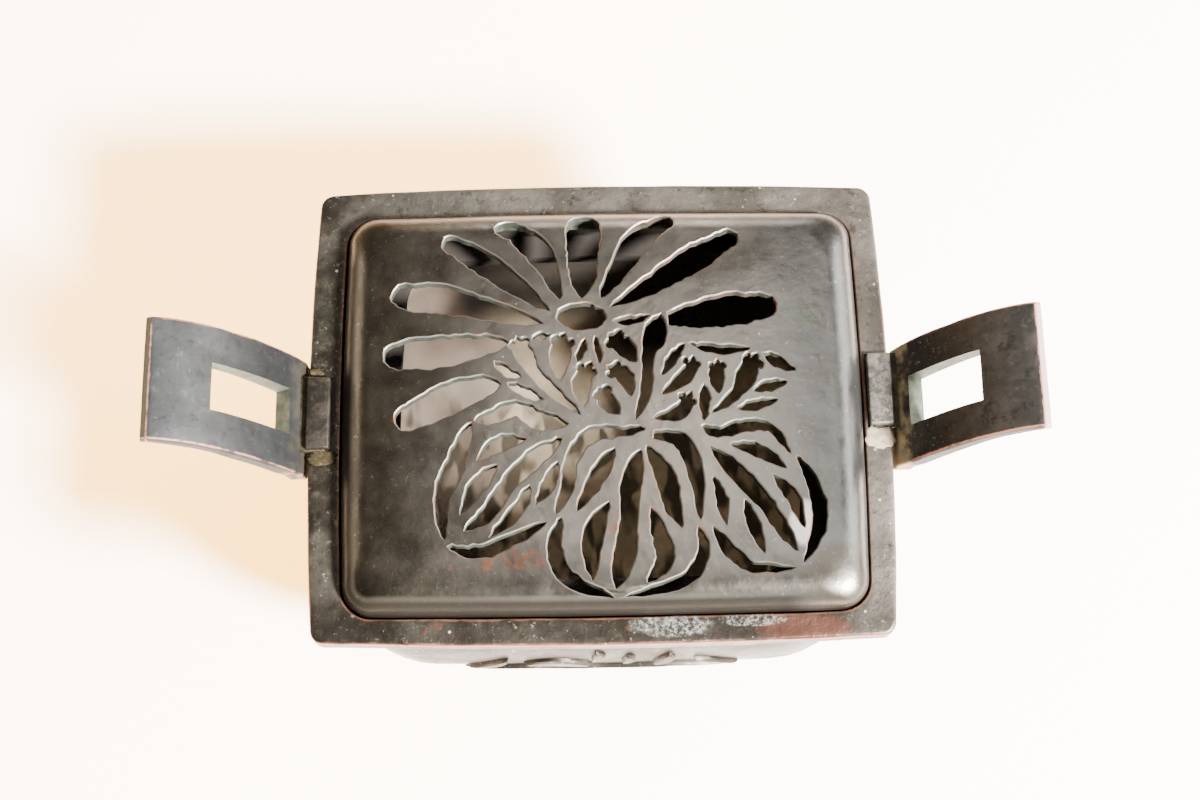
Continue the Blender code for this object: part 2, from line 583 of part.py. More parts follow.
def box_tool(name, side, middle, size, slope, group):
    """A box tipped up by a slope, drawn for the right end and mirrored to the left where side is -1."""
    form = bmesh.new()
    bmesh.ops.create_cube(form, size=1.0)
    bmesh.ops.scale(form, verts=form.verts, vec=size)
    bmesh.ops.rotate(form, verts=form.verts, matrix=Matrix.Rotation(-math.atan(slope), 3, "Y"))
    bmesh.ops.translate(form, verts=form.verts, vec=middle)
    bmesh.ops.scale(form, verts=form.verts, vec=(side, 1, 1))
    return add_object(name, form, group)


def make_handle(side, reach, width, middle_y, window, tab_y, parts, tools):
    """One plate; the window is given as (length, width, distance of its middle from the rim)."""
    name = "handle_right" if side > 0 else "handle_left"
    profile = handle_profile(reach)
    plate = skinned([[(side * x, middle_y + edge * half_width(width, x), z) for x, z in profile]
                     for edge in (-1, 1)])
    handle = add_object(name, plate, parts, metal(name + " bronze", (0.09, 0.07, 0.055), 0.5))
    edges = handle.modifiers.new("Softened edges", "BEVEL")
    edges.width = HANDLE_EDGE * MM
    edges.segments = 2
    edges.limit_method = "ANGLE"
    edges.angle_limit = math.radians(40)

    window_length, window_width, window_out = window
    slope = inner_face(window_out)[1]
    out, up = through_plate(window_out, HANDLE_THICKNESS / 2)
    middle = (RIM_LENGTH / 2 + out, middle_y, BODY_HEIGHT + up)
    size = (window_length, window_width, 4 * HANDLE_THICKNESS)
    boolean(handle, box_tool("window cutter", side, middle, size, slope, tools), "DIFFERENCE")

    inner = RIM_LENGTH / 2 - TAB_LENGTH
    outer = RIM_LENGTH / 2 + HANDLE_THICKNESS
    low = BODY_HEIGHT - NOTCH_DEPTH + REST_GAP
    high = BODY_HEIGHT + TAB_RISE
    middle = ((inner + outer) / 2, tab_y, (low + high) / 2)
    size = (outer - inner, TAB_WIDTH, high - low)
    boolean(handle, box_tool("tab tool", side, middle, size, 0, tools), "UNION")


def main():
    clear_scene()
    parts = new_collection("Incense burner")
    tools = new_collection("Tools")
    make_body(parts, tools)
    make_lid(parts, tools)
    right_window = (RIGHT_WINDOW_LENGTH, RIGHT_WINDOW_WIDTH, RIGHT_WINDOW_MIDDLE)
    left_window = (LEFT_WINDOW_LENGTH, LEFT_WINDOW_WIDTH, LEFT_WINDOW_MIDDLE)
    make_handle(1, RIGHT_REACH, RIGHT_WIDTH, RIGHT_MIDDLE_Y, right_window, RIGHT_TAB_Y, parts, tools)
    make_handle(-1, LEFT_REACH, LEFT_WIDTH, LEFT_MIDDLE_Y, left_window, LEFT_TAB_Y, parts, tools)


main()
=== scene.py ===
"""The looks of a rectangular bronze incense burner with an openwork lid and two plate handles.

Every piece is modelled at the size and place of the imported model, in metres. X runs along the burner
through both handles, the front faces -Y and the feet stand at z = 0.
"""
import math

import bmesh
import bpy
from mathutils import Matrix, Vector


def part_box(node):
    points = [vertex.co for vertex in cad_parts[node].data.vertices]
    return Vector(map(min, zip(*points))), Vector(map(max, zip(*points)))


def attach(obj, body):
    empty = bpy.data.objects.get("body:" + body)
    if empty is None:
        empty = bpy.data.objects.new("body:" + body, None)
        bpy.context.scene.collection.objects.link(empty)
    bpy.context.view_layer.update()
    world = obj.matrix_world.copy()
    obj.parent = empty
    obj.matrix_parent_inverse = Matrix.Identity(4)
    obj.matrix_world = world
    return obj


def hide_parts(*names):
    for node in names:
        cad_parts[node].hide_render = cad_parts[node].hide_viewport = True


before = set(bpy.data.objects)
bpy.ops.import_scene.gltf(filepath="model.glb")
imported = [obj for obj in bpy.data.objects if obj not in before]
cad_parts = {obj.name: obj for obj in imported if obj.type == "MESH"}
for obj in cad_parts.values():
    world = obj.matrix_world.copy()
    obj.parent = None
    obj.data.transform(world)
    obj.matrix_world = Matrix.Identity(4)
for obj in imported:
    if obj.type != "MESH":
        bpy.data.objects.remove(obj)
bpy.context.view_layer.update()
BODY_LOW, BODY_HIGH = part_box("body")
LID_LOW, LID_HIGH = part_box("lid")

bl_info = {
    "name": "Openwork Incense Burner",
    "version": (1, 0, 0),
    "blender": (4, 5, 0),
    "location": "View3D > Sidebar > Burner",
    "description": "Builds a bronze incense burner with an openwork lid",
    "category": "Object",
}

MM = 0.001
SMOOTH_ANGLE = math.radians(38)
QUARTER_TURN = math.radians(90)

# The carving and the lid's openings, in millimetres, as strokes: (across, up, width) at a few places
# along each, with width 0 where the stroke ends in a point. The lid's start at its middle.
RELIEF = {
    "stem": ((-37.0, 47.0, 0), (-22.0, 51.5, 2.0), (-2.0, 50.0, 2.4), (18.0, 52.5, 2.0), (36.0, 47.5, 0)),
    "leaf 1": ((-21.0, 56.5, 0), (-12.0, 58.0, 6.5), (-3.0, 55.0, 0)),
    "leaf 2": ((13.5, 55.5, 0), (16.5, 60.0, 4.6), (17.5, 65.5, 0)),
    "leaf 3": ((-2.0, 45.5, 0), (-11.0, 44.5, 5.0), (-19.0, 38.5, 0)),
    "leaf 4": ((4.0, 45.5, 0), (13.0, 45.5, 5.0), (21.0, 40.0, 0)),
    "leaf 5": ((-36.0, 52.0, 0), (-29.0, 56.0, 4.0), (-25.0, 61.5, 0)),
    "leaf 6": ((36.0, 52.5, 0), (29.0, 56.0, 4.0), (24.0, 60.5, 0)),
    "bud 1": ((-3.0, 61.0, 0), (-1.0, 64.5, 3.4), (-2.0, 68.0, 0)),
    "bud 2": ((5.0, 58.5, 0), (7.0, 61.5, 3.2), (6.5, 65.0, 0)),
}
PETALS = {
    "petal 1": ((-52.5, -5.4, 0), (-48.4, -3.6, 6.6), (-40.6, 0.0, 8.6), (-32.2, 3.3, 6.6),
                (-25.6, 4.5, 0)),
    "petal 2": ((-55.3, 11.5, 0), (-50.4, 13.0, 7.4), (-40.2, 13.5, 8.4), (-30.7, 14.9, 5.6),
                (-23.5, 15.6, 0)),
    "petal 3": ((-53.5, 30.6, 0), (-48.8, 28.6, 7.0), (-40.3, 27.9, 8.0), (-30.0, 25.0, 5.7),
                (-14.8, 20.6, 0)),
    "petal 4": ((-40.9, 44.0, 0), (-37.2, 42.6, 5.2), (-29.4, 37.4, 7.0), (-22.7, 32.0, 5.2),
                (-13.2, 24.1, 0)),
    "petal 5": ((-27.1, 48.0, 0), (-22.1, 46.6, 5.2), (-16.4, 41.4, 7.3), (-12.8, 34.6, 4.4),
                (-10.6, 27.4, 0)),
    "petal 6": ((-4.0, 51.4, 0), (-4.1, 47.7, 8.4), (-4.4, 41.5, 8.1), (-4.5, 35.3, 7.3), (-4.9, 27.6, 0)),
    "petal 7": ((19.5, 49.8, 0), (15.0, 47.9, 5.2), (9.7, 43.2, 7.4), (4.8, 35.5, 4.7), (0.0, 27.5, 0)),
    "petal 8": ((35.8, 45.3, 0), (30.8, 42.3, 5.7), (22.8, 37.4, 7.6), (14.6, 32.0, 5.5), (2.5, 24.9, 0)),
    "petal 9": ((45.4, 25.4, 0), (39.2, 24.4, 7.5), (31.7, 23.7, 9.0), (23.4, 22.2, 6.8),
                (17.4, 21.5, 3.4)),
}
SPRAYS = {
    "right bud": ((40.9, 11.9, 0), (44.8, 9.5, 3.2), (49.4, 7.1, 0)),
    "right calyx": ((22.2, 14.6, 0), (29.7, 12.9, 2.8), (38.2, 13.2, 0)),
    "centre notch": ((3.0, 21.1, 0), (7.9, 21.1, 2.4), (12.3, 22.4, 0)),
    "left notch": ((-17.4, 16.6, 0), (-15.3, 17.1, 1.8), (-13.0, 17.6, 0)),
    "left stem": ((-21.7, 17.2, 0), (-20.0, 12.8, 4.6), (-17.7, 8.4, 3.2), (-12.7, 2.5, 3.0),
                  (-5.6, -4.1, 0)),
    "left bud 1": ((-27.4, 10.5, 0), (-24.1, 7.7, 2.6), (-20.4, 6.1, 0)),
    "left bud 2": ((-23.8, 4.5, 0), (-19.8, 2.3, 3.0), (-14.9, 0.1, 0)),
    "centre bud 1": ((-9.4, 17.8, 0), (-10.5, 12.4, 5.4), (-10.6, 5.4, 0)),
    "centre bud 2": ((-4.3, 16.1, 0), (-5.1, 13.1, 2.0), (-6.2, 10.4, 0)),
    "centre bud 3": ((-1.7, 17.1, 0), (-0.9, 13.6, 1.8), (-0.5, 9.7, 0)),
    "centre bud 4": ((1.9, 17.6, 0), (5.7, 14.0, 5.2), (8.9, 9.6, 0)),
    "centre bud 5": ((1.2, 8.9, 0), (5.5, 6.2, 4.4), (7.2, 0.8, 0)),
    "centre heart": ((-2.6, 10.1, 0), (-5.3, 4.5, 4.8), (-4.8, -1.9, 0)),
    "centre bud 6": ((-1.2, 3.3, 0), (1.3, -0.7, 4.6), (4.3, -4.2, 0)),
    "centre stem": ((15.4, 22.9, 0), (13.7, 17.1, 6.2), (11.8, 11.7, 3.0), (11.0, 2.3, 3.0),
                    (8.3, -5.6, 0)),
    "right bud 1": ((21.0, 14.3, 0), (17.9, 10.6, 2.8), (15.2, 6.0, 0)),
    "right bud 2": ((23.3, 11.3, 0), (21.6, 6.4, 3.9), (15.0, 0.9, 0)),
    "right bud 3": ((29.4, 10.1, 0), (29.2, 6.1, 3.9), (29.5, 1.0, 0)),
    "right stem": ((39.7, 11.8, 0), (36.9, 6.5, 5.2), (34.4, 1.4, 3.0), (27.6, -4.1, 0)),
    "right bud 4": ((38.3, 1.6, 0), (42.6, 3.1, 3.1), (46.8, 4.1, 0)),
    "right bud 5": ((33.9, -3.1, 0), (38.8, -2.1, 2.9), (44.5, -0.6, 0)),
    "right bud 6": ((25.8, 3.4, 0), (25.9, -0.3, 2.9), (25.5, -5.9, 0)),
    "right bud 7": ((22.7, 1.9, 0), (19.7, -3.5, 4.1), (12.9, -5.2, 0)),
}
LEAVES = {
    "left leaf crest": ((-32.2, -5.2, 0), (-27.7, -4.2, 3.8), (-22.1, -2.2, 4.0), (-16.0, -5.2, 5.0),
                        (-8.7, -6.4, 0)),
    "left leaf vein 1": ((-31.7, -15.5, 0), (-26.2, -11.4, 4.1), (-19.4, -10.2, 0)),
    "left leaf border": ((-33.2, -5.7, 0), (-35.3, -11.0, 3.6), (-38.0, -18.3, 5.1), (-40.5, -25.7, 3.6),
                         (-39.9, -36.0, 0)),
    "left leaf vein 2": ((-26.7, -16.9, 0), (-31.7, -22.3, 4.3), (-35.9, -29.4, 0)),
    "left leaf middle": ((-10.5, -10.3, 0), (-17.6, -15.5, 4.8), (-24.4, -22.4, 4.1), (-29.2, -29.3, 3.9),
                         (-34.9, -33.6, 0)),
    "left leaf vein 3": ((-18.7, -22.4, 0), (-21.6, -28.4, 3.4), (-28.9, -35.5, 0)),
    "left leaf vein 4": ((-11.6, -16.3, 0), (-13.9, -21.8, 3.3), (-17.2, -27.4, 0)),
    "left leaf foot": ((-38.9, -37.6, 0), (-31.4, -39.0, 3.2), (-23.2, -36.1, 3.2), (-14.5, -31.8, 0)),
    "centre leaf crest": ((10.8, -8.0, 0), (4.7, -8.7, 2.6), (-2.7, -9.4, 4.0), (-7.8, -15.1, 3.4),
                          (-9.2, -22.6, 3.2), (-12.2, -29.8, 0)),
    "centre leaf vein 1": ((2.8, -12.9, 0), (-1.1, -19.4, 4.2), (-7.0, -29.4, 0)),
    "centre leaf middle": ((9.4, -13.3, 0), (6.9, -21.4, 5.0), (5.9, -31.2, 4.2), (4.8, -40.1, 5.5),
                           (2.3, -48.9, 0)),
    "centre leaf vein 2": ((10.9, -12.5, 0), (15.2, -20.2, 5.0), (16.8, -27.2, 4.3), (19.1, -33.7, 0)),
    "centre leaf border": ((12.8, -9.7, 2.0), (19.3, -11.1, 4.0), (22.8, -18.5, 3.8), (23.9, -31.9, 0)),
    "centre leaf left foot": ((-10.8, -30.6, 0), (-12.6, -38.0, 3.5), (-9.5, -45.7, 3.8), (2.0, -50.7, 0)),
    "centre leaf vein 3": ((1.0, -27.0, 0), (-3.1, -35.6, 5.2), (-3.3, -46.5, 0)),
    "centre leaf vein 4": ((11.5, -28.4, 0), (13.8, -35.7, 4.0), (14.6, -41.8, 4.4), (10.3, -47.2, 0)),
    "centre leaf right foot": ((23.1, -33.4, 0), (24.4, -39.9, 3.0), (19.4, -46.7, 3.0), (4.6, -50.6, 0)),
    "right leaf crest": ((24.6, -7.5, 0), (28.9, -9.2, 2.8), (35.1, -7.7, 3.3), (42.1, -8.0, 2.5),
                         (47.1, -15.0, 0)),
    "right leaf vein 1": ((31.9, -12.4, 0), (39.1, -14.1, 3.6), (45.7, -18.7, 0)),
    "right leaf middle": ((26.8, -12.8, 0), (33.3, -19.7, 4.6), (40.0, -27.4, 4.1), (44.2, -34.1, 3.4),
                          (47.7, -39.8, 0)),
    "right leaf vein 2": ((27.5, -20.7, 0), (29.3, -26.9, 3.0), (30.3, -33.1, 0)),
    "right leaf vein 3": ((35.1, -26.6, 0), (37.3, -33.5, 3.3), (39.5, -40.2, 0)),
    "right leaf vein 4": ((42.1, -20.1, 0), (47.1, -26.2, 3.5), (49.7, -34.0, 0)),
    "right leaf border": ((48.6, -15.5, 0), (52.4, -22.6, 3.3), (53.7, -32.5, 3.6), (49.0, -43.2, 0)),
    "right leaf foot": ((26.8, -33.3, 0), (31.1, -39.8, 3.4), (36.6, -43.7, 2.7), (47.0, -44.1, 0)),
}
CENTRE_HOLE = (-5.0, 22.4)
CENTRE_HOLE_LENGTH = 12.6
CENTRE_HOLE_DEPTH = 7.4

# Buds whose width lies between these two, in millimetres, end in a pair of lobes. A lobe's size and its place
# off the bud's middle line are shares of the bud's width, and its place along the bud a share of its length.
LOBED_FROM = 3.8
LOBED_TO = 6.0
LOBE_SIZE = 0.5
LOBE_SPREAD = 0.32
LOBE_PLACE = 0.42

# Small sizes of the lid's foot and of the handles' tabs, in metres.
FOOT_ROUNDING = 0.0004
CREVICE_INSET = 0.0012
CREVICE_SPARE = 0.0008
CREVICE_EDGE = 0.0002
TAB_OVERLAP = 0.0004
TAB_EDGE = 0.0006

# Lumps of filler: the side of the burner, the end of the tab, how far in from the rim's edge and how far past
# the tab the lump's middle lies, and its size, in metres.
FILLER = {
    "left_filler_front": (-1, -1, 0.0041, 0.0020, (0.0078, 0.0038)),
    "left_filler_back": (-1, 1, 0.0020, 0.0013, (0.0040, 0.0030)),
    "right_filler_front": (1, -1, 0.0032, 0.0031, (0.0068, 0.0062)),
}

# Marks on the rim and the lid: the middle, the reach along X and Y, in metres, and how ragged the edge is.
MARKS = {
    "bare patch on the rim": (0.050, -0.0585, 0.012, 0.0035, 0.5),
    "wide bloom on the rim": (0.017, -0.0572, 0.010, 0.0030, 0.6),
    "narrow bloom on the rim": (0.037, -0.0562, 0.008, 0.0018, 0.6),
    # Painted shade: darkens the lid's front-right corner so that the lamp's highlight there is weaker.
    "painted shade at the corner": (0.060, -0.047, 0.010, 0.009, 0.3),
    "polished bar": (0.0508, -0.0335, 0.0042, 0.0060, 0.5),
    "wear under the left leaf": (-0.0267, -0.0416, 0.016, 0.0032, 0.7),
    "wear on the centre leaf": (0.0059, -0.034, 0.005, 0.006, 0.7),
    "red spot": (-0.0519, -0.0053, 0.0009, 0.0006),
    "green spot": (0.0526, 0.0205, 0.0032, 0.0030, 0.4),
    "scratched corner": (0.048, 0.032, 0.016, 0.018, 0.4),
}

# The camera's place in metres, its lens in millimetres and its turns in degrees.
CAMERA_PLACE = (-0.0042, -0.156, 0.5829)
CAMERA_SENSOR = 36.0
CAMERA_LENS = 60.0
CAMERA_TILT = 17.83
CAMERA_TURN = -1.57
CAMERA_ROLL = 0.59

# The floor's and the room's own light, and each lamp: its place, its size, its power in watts and its colour.
FLOOR_SIZE = 12.0
FLOOR_COLOUR = (0.79, 0.89, 1.0)
FLOOR_GLOW = (1.0, 0.50, 0.06, 1.0)
FLOOR_GLOW_STRENGTH = 6.5
ROOM_COLOUR = (1.0, 0.93, 0.84, 1.0)
ROOM_STRENGTH = 0.22
LIT_PLACE = (0.0, 0.0, 0.08)
LAMPS = {
    "key light": ((0.84, -0.59, 0.96), 0.24, 245.0, (0.94, 0.97, 1.0)),
    "back light": ((0.15, 1.25, 0.72), 0.55, 5.5, (1.0, 0.97, 0.93)),
    "overhead light": ((0.24, 0.34, 1.42), 0.5, 3.5, (1.0, 0.98, 0.95)),
    "right light": ((1.20, 0.42, 0.84), 0.9, 22.0, (0.97, 0.98, 1.0)),
    "left light": ((-1.15, 0.42, 0.78), 0.6, 4.5, (1.0, 0.95, 0.88)),
}


def length(name, text, value):
    """A size that a user may change."""
    return bpy.props.FloatProperty(name=name, description=text, default=value, unit="LENGTH", precision=5)


def tone(name, text, value):
    """A colour that a user may change."""
    return bpy.props.FloatVectorProperty(name=name, description=text, default=value, size=3,
                                         subtype="COLOR", min=0.0, max=1.0)


class BurnerBodySizes(bpy.types.PropertyGroup):
    """Sizes of the cast vessel."""
    rim_length: length("Rim length", "Length over the rim", BODY_HIGH.x - BODY_LOW.x)
    rim_depth: length("Rim depth", "Depth over the rim, front to back", BODY_HIGH.y - BODY_LOW.y)
    height: length("Height", "Height of the rim's top", BODY_HIGH.z)
    rim_thickness: length("Rim thickness", "Height of the rim's edge", 0.0055)
    rim_corner: length("Rim corner", "Radius of the rim's corners", 0.0032)
    rim_edge: length("Rim edge", "Rounding of the rim's worn edges", 0.0008)
    end_bow: length("End bow", "Swell of the short sides", 0.0021)
    side_bow: length("Side bow", "Swell of the long sides", 0.0016)
    neck_inset: length("Neck inset", "How far the neck lies inside the rim", 0.008)
    neck_height: length("Neck height", "Height where the belly meets the neck", 0.080)
    neck_corner: length("Neck corner", "Radius of the neck's corners", 0.012)
    belly_length: length("Belly length", "Length over the belly", 0.142)
    belly_depth: length("Belly depth", "Depth over the belly", 0.119)
    belly_height: length("Belly height", "Height of the belly's widest line", 0.058)
    belly_corner: length("Belly corner", "Radius of the belly's corners", 0.024)
    base_length: length("Base length", "Length of the underside", 0.104)
    base_depth: length("Base depth", "Depth of the underside", 0.084)
    base_corner: length("Base corner", "Radius of the underside's corners", 0.018)
    wall: length("Wall", "Thickness of the wall", 0.0045)
    floor: length("Floor", "Thickness of the floor", 0.005)
    ledge_drop: length("Ledge drop", "Depth of the ledge below the rim", 0.0056)
    ledge_thickness: length("Ledge thickness", "Thickness of the ledge", 0.004)
    mouth_length: length("Mouth length", "Length of the opening inside the ledge", 0.104)
    mouth_depth: length("Mouth depth", "Depth of the opening inside the ledge", 0.088)
    mouth_corner: length("Mouth corner", "Radius of the opening's corners", 0.010)
    relief_rise: length("Relief rise", "Height of the carved spray", 0.0013)
    leg_height: length("Leg height", "Height of the underside over the soles", 0.026)
    leg_sink: length("Leg sink", "How far a leg runs up into the floor", 0.003)
    leg_top: length("Leg top", "Width of a leg under the belly", 0.025)
    leg_ankle: length("Leg ankle", "Width of a leg's ankle", 0.012)
    ankle_height: length("Ankle height", "Height of the ankle", 0.008)
    leg_foot: length("Leg foot", "Width of a sole", 0.015)
    leg_spread_x: length("Leg spread along", "Distance between the legs along the burner", 0.082)
    leg_spread_y: length("Leg spread across", "Distance between the legs across it", 0.062)


class BurnerLidSizes(bpy.types.PropertyGroup):
    """Sizes of the openwork lid."""
    length: length("Length", "Length of the lid", LID_HIGH.x - LID_LOW.x)
    depth: length("Depth", "Depth of the lid", LID_HIGH.y - LID_LOW.y)
    bottom: length("Bottom", "Height of the lid's lower edge", LID_LOW.z)
    edge: length("Edge", "Height where the shoulder starts", 0.0926)
    shift_x: length("Shift along", "Offset of the lid in its well along X", 0.0007)
    shift_y: length("Shift across", "Offset of the lid in its well along Y", -0.0007)
    seat_gap: length("Seat gap", "Gap between the lid and the edge of its well", 0.0006)
    corner: length("Corner", "Radius of the lid's corners", 0.007)
    end_bow: length("End bow", "Swell of the short sides", 0.0011)
    side_bow: length("Side bow", "Swell of the long sides", 0.0007)
    shoulder_rise: length("Shoulder rise", "Height of the rounded shoulder", 0.0067)
    shoulder_width: length("Shoulder width", "Width of the rounded shoulder", 0.008)
    crown_rise: length("Crown rise", "Rise of the crown over the shoulder", 0.0018)
    crown_inset: length("Crown inset", "How far in the crown turns flat", 0.0434)
    plate: length("Plate", "Thickness of the lid", 0.0028)
    foot_wall: length("Foot wall", "Thickness of the lid's edge", 0.0032)
    filed_edge: length("Filed edge", "Width of the filed edge round each opening", 0.00032)


class BurnerHandleSizes(bpy.types.PropertyGroup):
    """Sizes that the two plate handles share."""
    thickness: length("Thickness", "Thickness of the plate at its root", 0.005)
    tip_thickness: length("Tip thickness", "Thickness of the plate at its tip", 0.003)
    chamfer: length("Chamfer", "How far the tip's chamfer runs out", 0.0014)
    chamfer_drop: length("Chamfer drop", "How far the chamfer falls behind the inner face", 0.0007)
    curve_reach: length("Curve reach", "Length over which the inner face gains its rise", 0.033)
    rise: length("Rise", "Height that the inner face gains", 0.0365)
    steepness: bpy.props.FloatProperty(name="Steepness", description="How steeply the plate starts",
                                       default=1.775, min=1.0, max=2.0)
    start: length("Start", "Depth below the rim where the inner face leaves it", 0.003)
    foot_drop: length("Foot drop", "How far the foot hangs below the rim's top", 0.0065)
    root_taper: length("Root taper", "How far each edge draws in at the root", 0.001)
    root_length: length("Root length", "Length over which the edges draw in", 0.006)
    gap: length("Gap", "Gap between the plate and the rim", 0.0003)
    edge: length("Edge", "Rounding of the plate's edges", 0.0009)
    tab_length: length("Tab length", "How far the tab reaches in over the rim", 0.0058)
    tab_width: length("Tab width", "Width of the tab", 0.0193)
    tab_rise: length("Tab rise", "Height of the tab over the rim", 0.0022)
    crevice_rise: length("Crevice rise", "Height of the dirty crevice behind the tab", 0.0008)
    notch_depth: length("Notch depth", "Depth of the notch under the tab", 0.0012)


class BurnerRightPlate(bpy.types.PropertyGroup):
    """Sizes of the right plate alone, which was fitted."""
    reach: length("Reach", "How far the plate's inner face runs out from the rim", 0.0315)
    width: length("Width", "Width of the plate", 0.0322)
    middle_y: length("Middle", "Place of the plate's middle across the burner", -0.0011)
    window_length: length("Window length", "Length of the window along the plate", 0.0248)
    window_width: length("Window width", "Width of the window", 0.0131)
    window_middle: length("Window middle", "Distance of the window's middle from the rim", 0.0108)
    tab_y: length("Tab middle", "Place of the tab's middle across the burner", 0.0033)


class BurnerLeftPlate(bpy.types.PropertyGroup):
    """Sizes of the left plate alone, which was fitted."""
    reach: length("Reach", "How far the plate's inner face runs out from the rim", 0.0338)
    width: length("Width", "Width of the plate", 0.0315)
    middle_y: length("Middle", "Place of the plate's middle across the burner", -0.0013)
    window_length: length("Window length", "Length of the window along the plate", 0.0268)
    window_width: length("Window width", "Width of the window", 0.0121)
    window_middle: length("Window middle", "Distance of the window's middle from the rim", 0.0113)
    tab_y: length("Tab middle", "Place of the tab's middle across the burner", -0.0009)


class BurnerColours(bpy.types.PropertyGroup):
    """Colours of the patina, the wear and the dirt."""
    patina: tone("Patina", "Dark patina of the vessel", (0.034, 0.027, 0.020))
    patina_grey: tone("Grey patina", "Greyer clouds in the patina", (0.062, 0.052, 0.039))
    mottle: tone("Mottle", "Brown and olive mottling in the patina", (0.115, 0.092, 0.062))
    # Painted light: the paler tone of the rim's top at its right and back.
    brightened: tone("Paler rim", "Paler patina of the rim's right and back", (0.142, 0.121, 0.098))
    lid: tone("Lid bronze", "Satin patina of the lid", (0.20, 0.178, 0.15))
    lid_right: tone("Lid right", "Greyer patina on the lid's right", (0.115, 0.11, 0.10))
    # Painted shade: the browner tone that darkens the lid's left and front.
    lid_shaded_brown: tone("Lid brown", "Browner side of the lid", (0.090, 0.073, 0.052))
    red_spot: tone("Red spot", "Small red spot on the lid's left", (0.45, 0.09, 0.04))
    # A painted highlight: the bright reflection on one bar of the right leaf, painted as a pale colour.
    painted_highlight: tone("Painted highlight", "Bar of the right leaf that is rubbed bright", (0.62, 0.60, 0.57))
    copper: tone("Worn copper", "Metal that shows at worn edges", (0.32, 0.135, 0.080))
    red_brown: tone("Red-brown", "Red-brown oxide where the patina is lost", (0.100, 0.044, 0.030))
    pale: tone("Pale bloom", "Pale corrosion", (0.50, 0.49, 0.43))
    verdigris: tone("Verdigris", "Faint green of old corrosion", (0.115, 0.130, 0.085))
    stain: tone("Stain", "Pinkish copper on the walls at the back right", (0.105, 0.062, 0.047))
    cut_wall: tone("Cut wall", "Filed walls of the openings", (0.040, 0.043, 0.031))
    window_wall: tone("Window wall", "Walls of the handles' windows", (0.055, 0.065, 0.046))
    handle_left: tone("Left handle", "Blue-grey patina of the left handle", (0.028, 0.027, 0.026))
    handle_left_grey: tone("Left handle grey", "Paler clouds on the left handle", (0.042, 0.041, 0.039))
    handle_right: tone("Right handle", "Dark brown patina of the right handle", (0.021, 0.018, 0.015))
    handle_right_brown: tone("Right handle brown", "Clouds on the right handle", (0.042, 0.034, 0.028))
    tip_left: tone("Left tip", "Olive-brown of the left plate's tip", (0.045, 0.036, 0.020))
    tip_right: tone("Right tip", "Pale pink of the right plate's tip", (0.36, 0.25, 0.22))
    tab_left: tone("Left tab", "Dark brown of the left tab", (0.034, 0.026, 0.018))
    tab_right: tone("Right tab", "Grey-brown of the right tab", (0.17, 0.145, 0.12))
    crevice: tone("Crevice", "Olive-beige dirt between tab and plate", (0.050, 0.038, 0.020))
    dust: tone("Ash dust", "Dust on the inside", (0.74, 0.56, 0.36))
    dust_left: tone("Pinkish dust", "Thinner dust at the left of the inside", (0.30, 0.225, 0.165))
    # This dark colour also stands for painted shade: under the lid, at the back of the inside and in the gap
    # beside each tab.
    soot_and_shade: tone("Soot and shade", "Darkened bronze inside", (0.022, 0.0175, 0.014))
    dirt: tone("Dirt", "Olive-beige dirt in the corners", (0.085, 0.066, 0.036))
    filler: tone("Filler", "Old filler by the right tab", (0.36, 0.28, 0.185))
    filler_left: tone("Left filler", "Browner filler by the left tab", (0.034, 0.0235, 0.010))


def shade(colour, factor):
    """A darker or lighter shade of a colour."""
    return tuple(min(1.0, factor * value) for value in colour)


def deselect_all():
    """Leave edit mode and select nothing."""
    if bpy.context.mode != "OBJECT":
        bpy.ops.object.mode_set(mode="OBJECT")
    bpy.ops.object.select_all(action="DESELECT")


def pick(piece):
    """Make one object the selected and active one."""
    deselect_all()
    piece.select_set(True)
    bpy.context.view_layer.objects.active = piece


def apply(piece, kind, **values):
    """Add a modifier and apply it straight away."""
    pick(piece)
    step = piece.modifiers.new(kind.title(), kind)
    for key, value in values.items():
        setattr(step, key, value)
    bpy.ops.object.modifier_apply(modifier=step.name)


def remove(piece):
    bpy.data.objects.remove(piece)


def joined(name, pieces):
    """Several objects as one."""
    deselect_all()
    for piece in pieces:
        piece.select_set(True)
    bpy.context.view_layer.objects.active = pieces[0]
    bpy.ops.object.join()
    whole = bpy.context.object
    whole.name = name
    return whole


def cut(piece, tool, operation="DIFFERENCE", overlaps=False):
    """Cut or fuse with another object, whose finish stays on the faces that it makes."""
    before = len(piece.data.vertices)
    apply(piece, "BOOLEAN", operation=operation, object=tool, solver="EXACT", material_mode="TRANSFER",
          use_self=overlaps)
    if len(piece.data.vertices) < before / 2:
        raise RuntimeError(f"{piece.name} was lost while {tool.name} was being worked into it")
    remove(tool)


def uneven(piece, amount, grain):
    """Push the surface in and out a little, as hand work leaves it."""
    cloud = bpy.data.textures.new(piece.name + " unevenness", "CLOUDS")
    cloud.noise_scale = grain
    cloud.noise_depth = 2
    apply(piece, "DISPLACE", texture=cloud, texture_coords="LOCAL", strength=amount, mid_level=0.5)


def finished(piece, slot, *nodes):
    """Shade the piece, put it on the burner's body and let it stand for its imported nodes."""
    pick(piece)
    bpy.ops.object.shade_smooth_by_angle(angle=SMOOTH_ANGLE)
    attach(piece, "root")
    if nodes:
        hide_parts(*nodes)


def between(start, end, share):
    """The value a share of the way from start to end."""
    return start + (end - start) * share


def swell(share):
    """Share of the way along a quarter of an ellipse that starts steeply."""
    return math.sin(QUARTER_TURN * share)


def rise(share):
    """Share of the way along a quarter of an ellipse that starts flat."""
    return 1 - math.cos(QUARTER_TURN * share)


def smooth(before, start, end, after, share):
    """A Catmull-Rom curve between start and end."""
    return 0.5 * (2 * start + (end - before) * share
                  + (2 * before - 5 * start + 4 * end - after) * share ** 2
                  + (3 * start - before - 3 * end + after) * share ** 3)


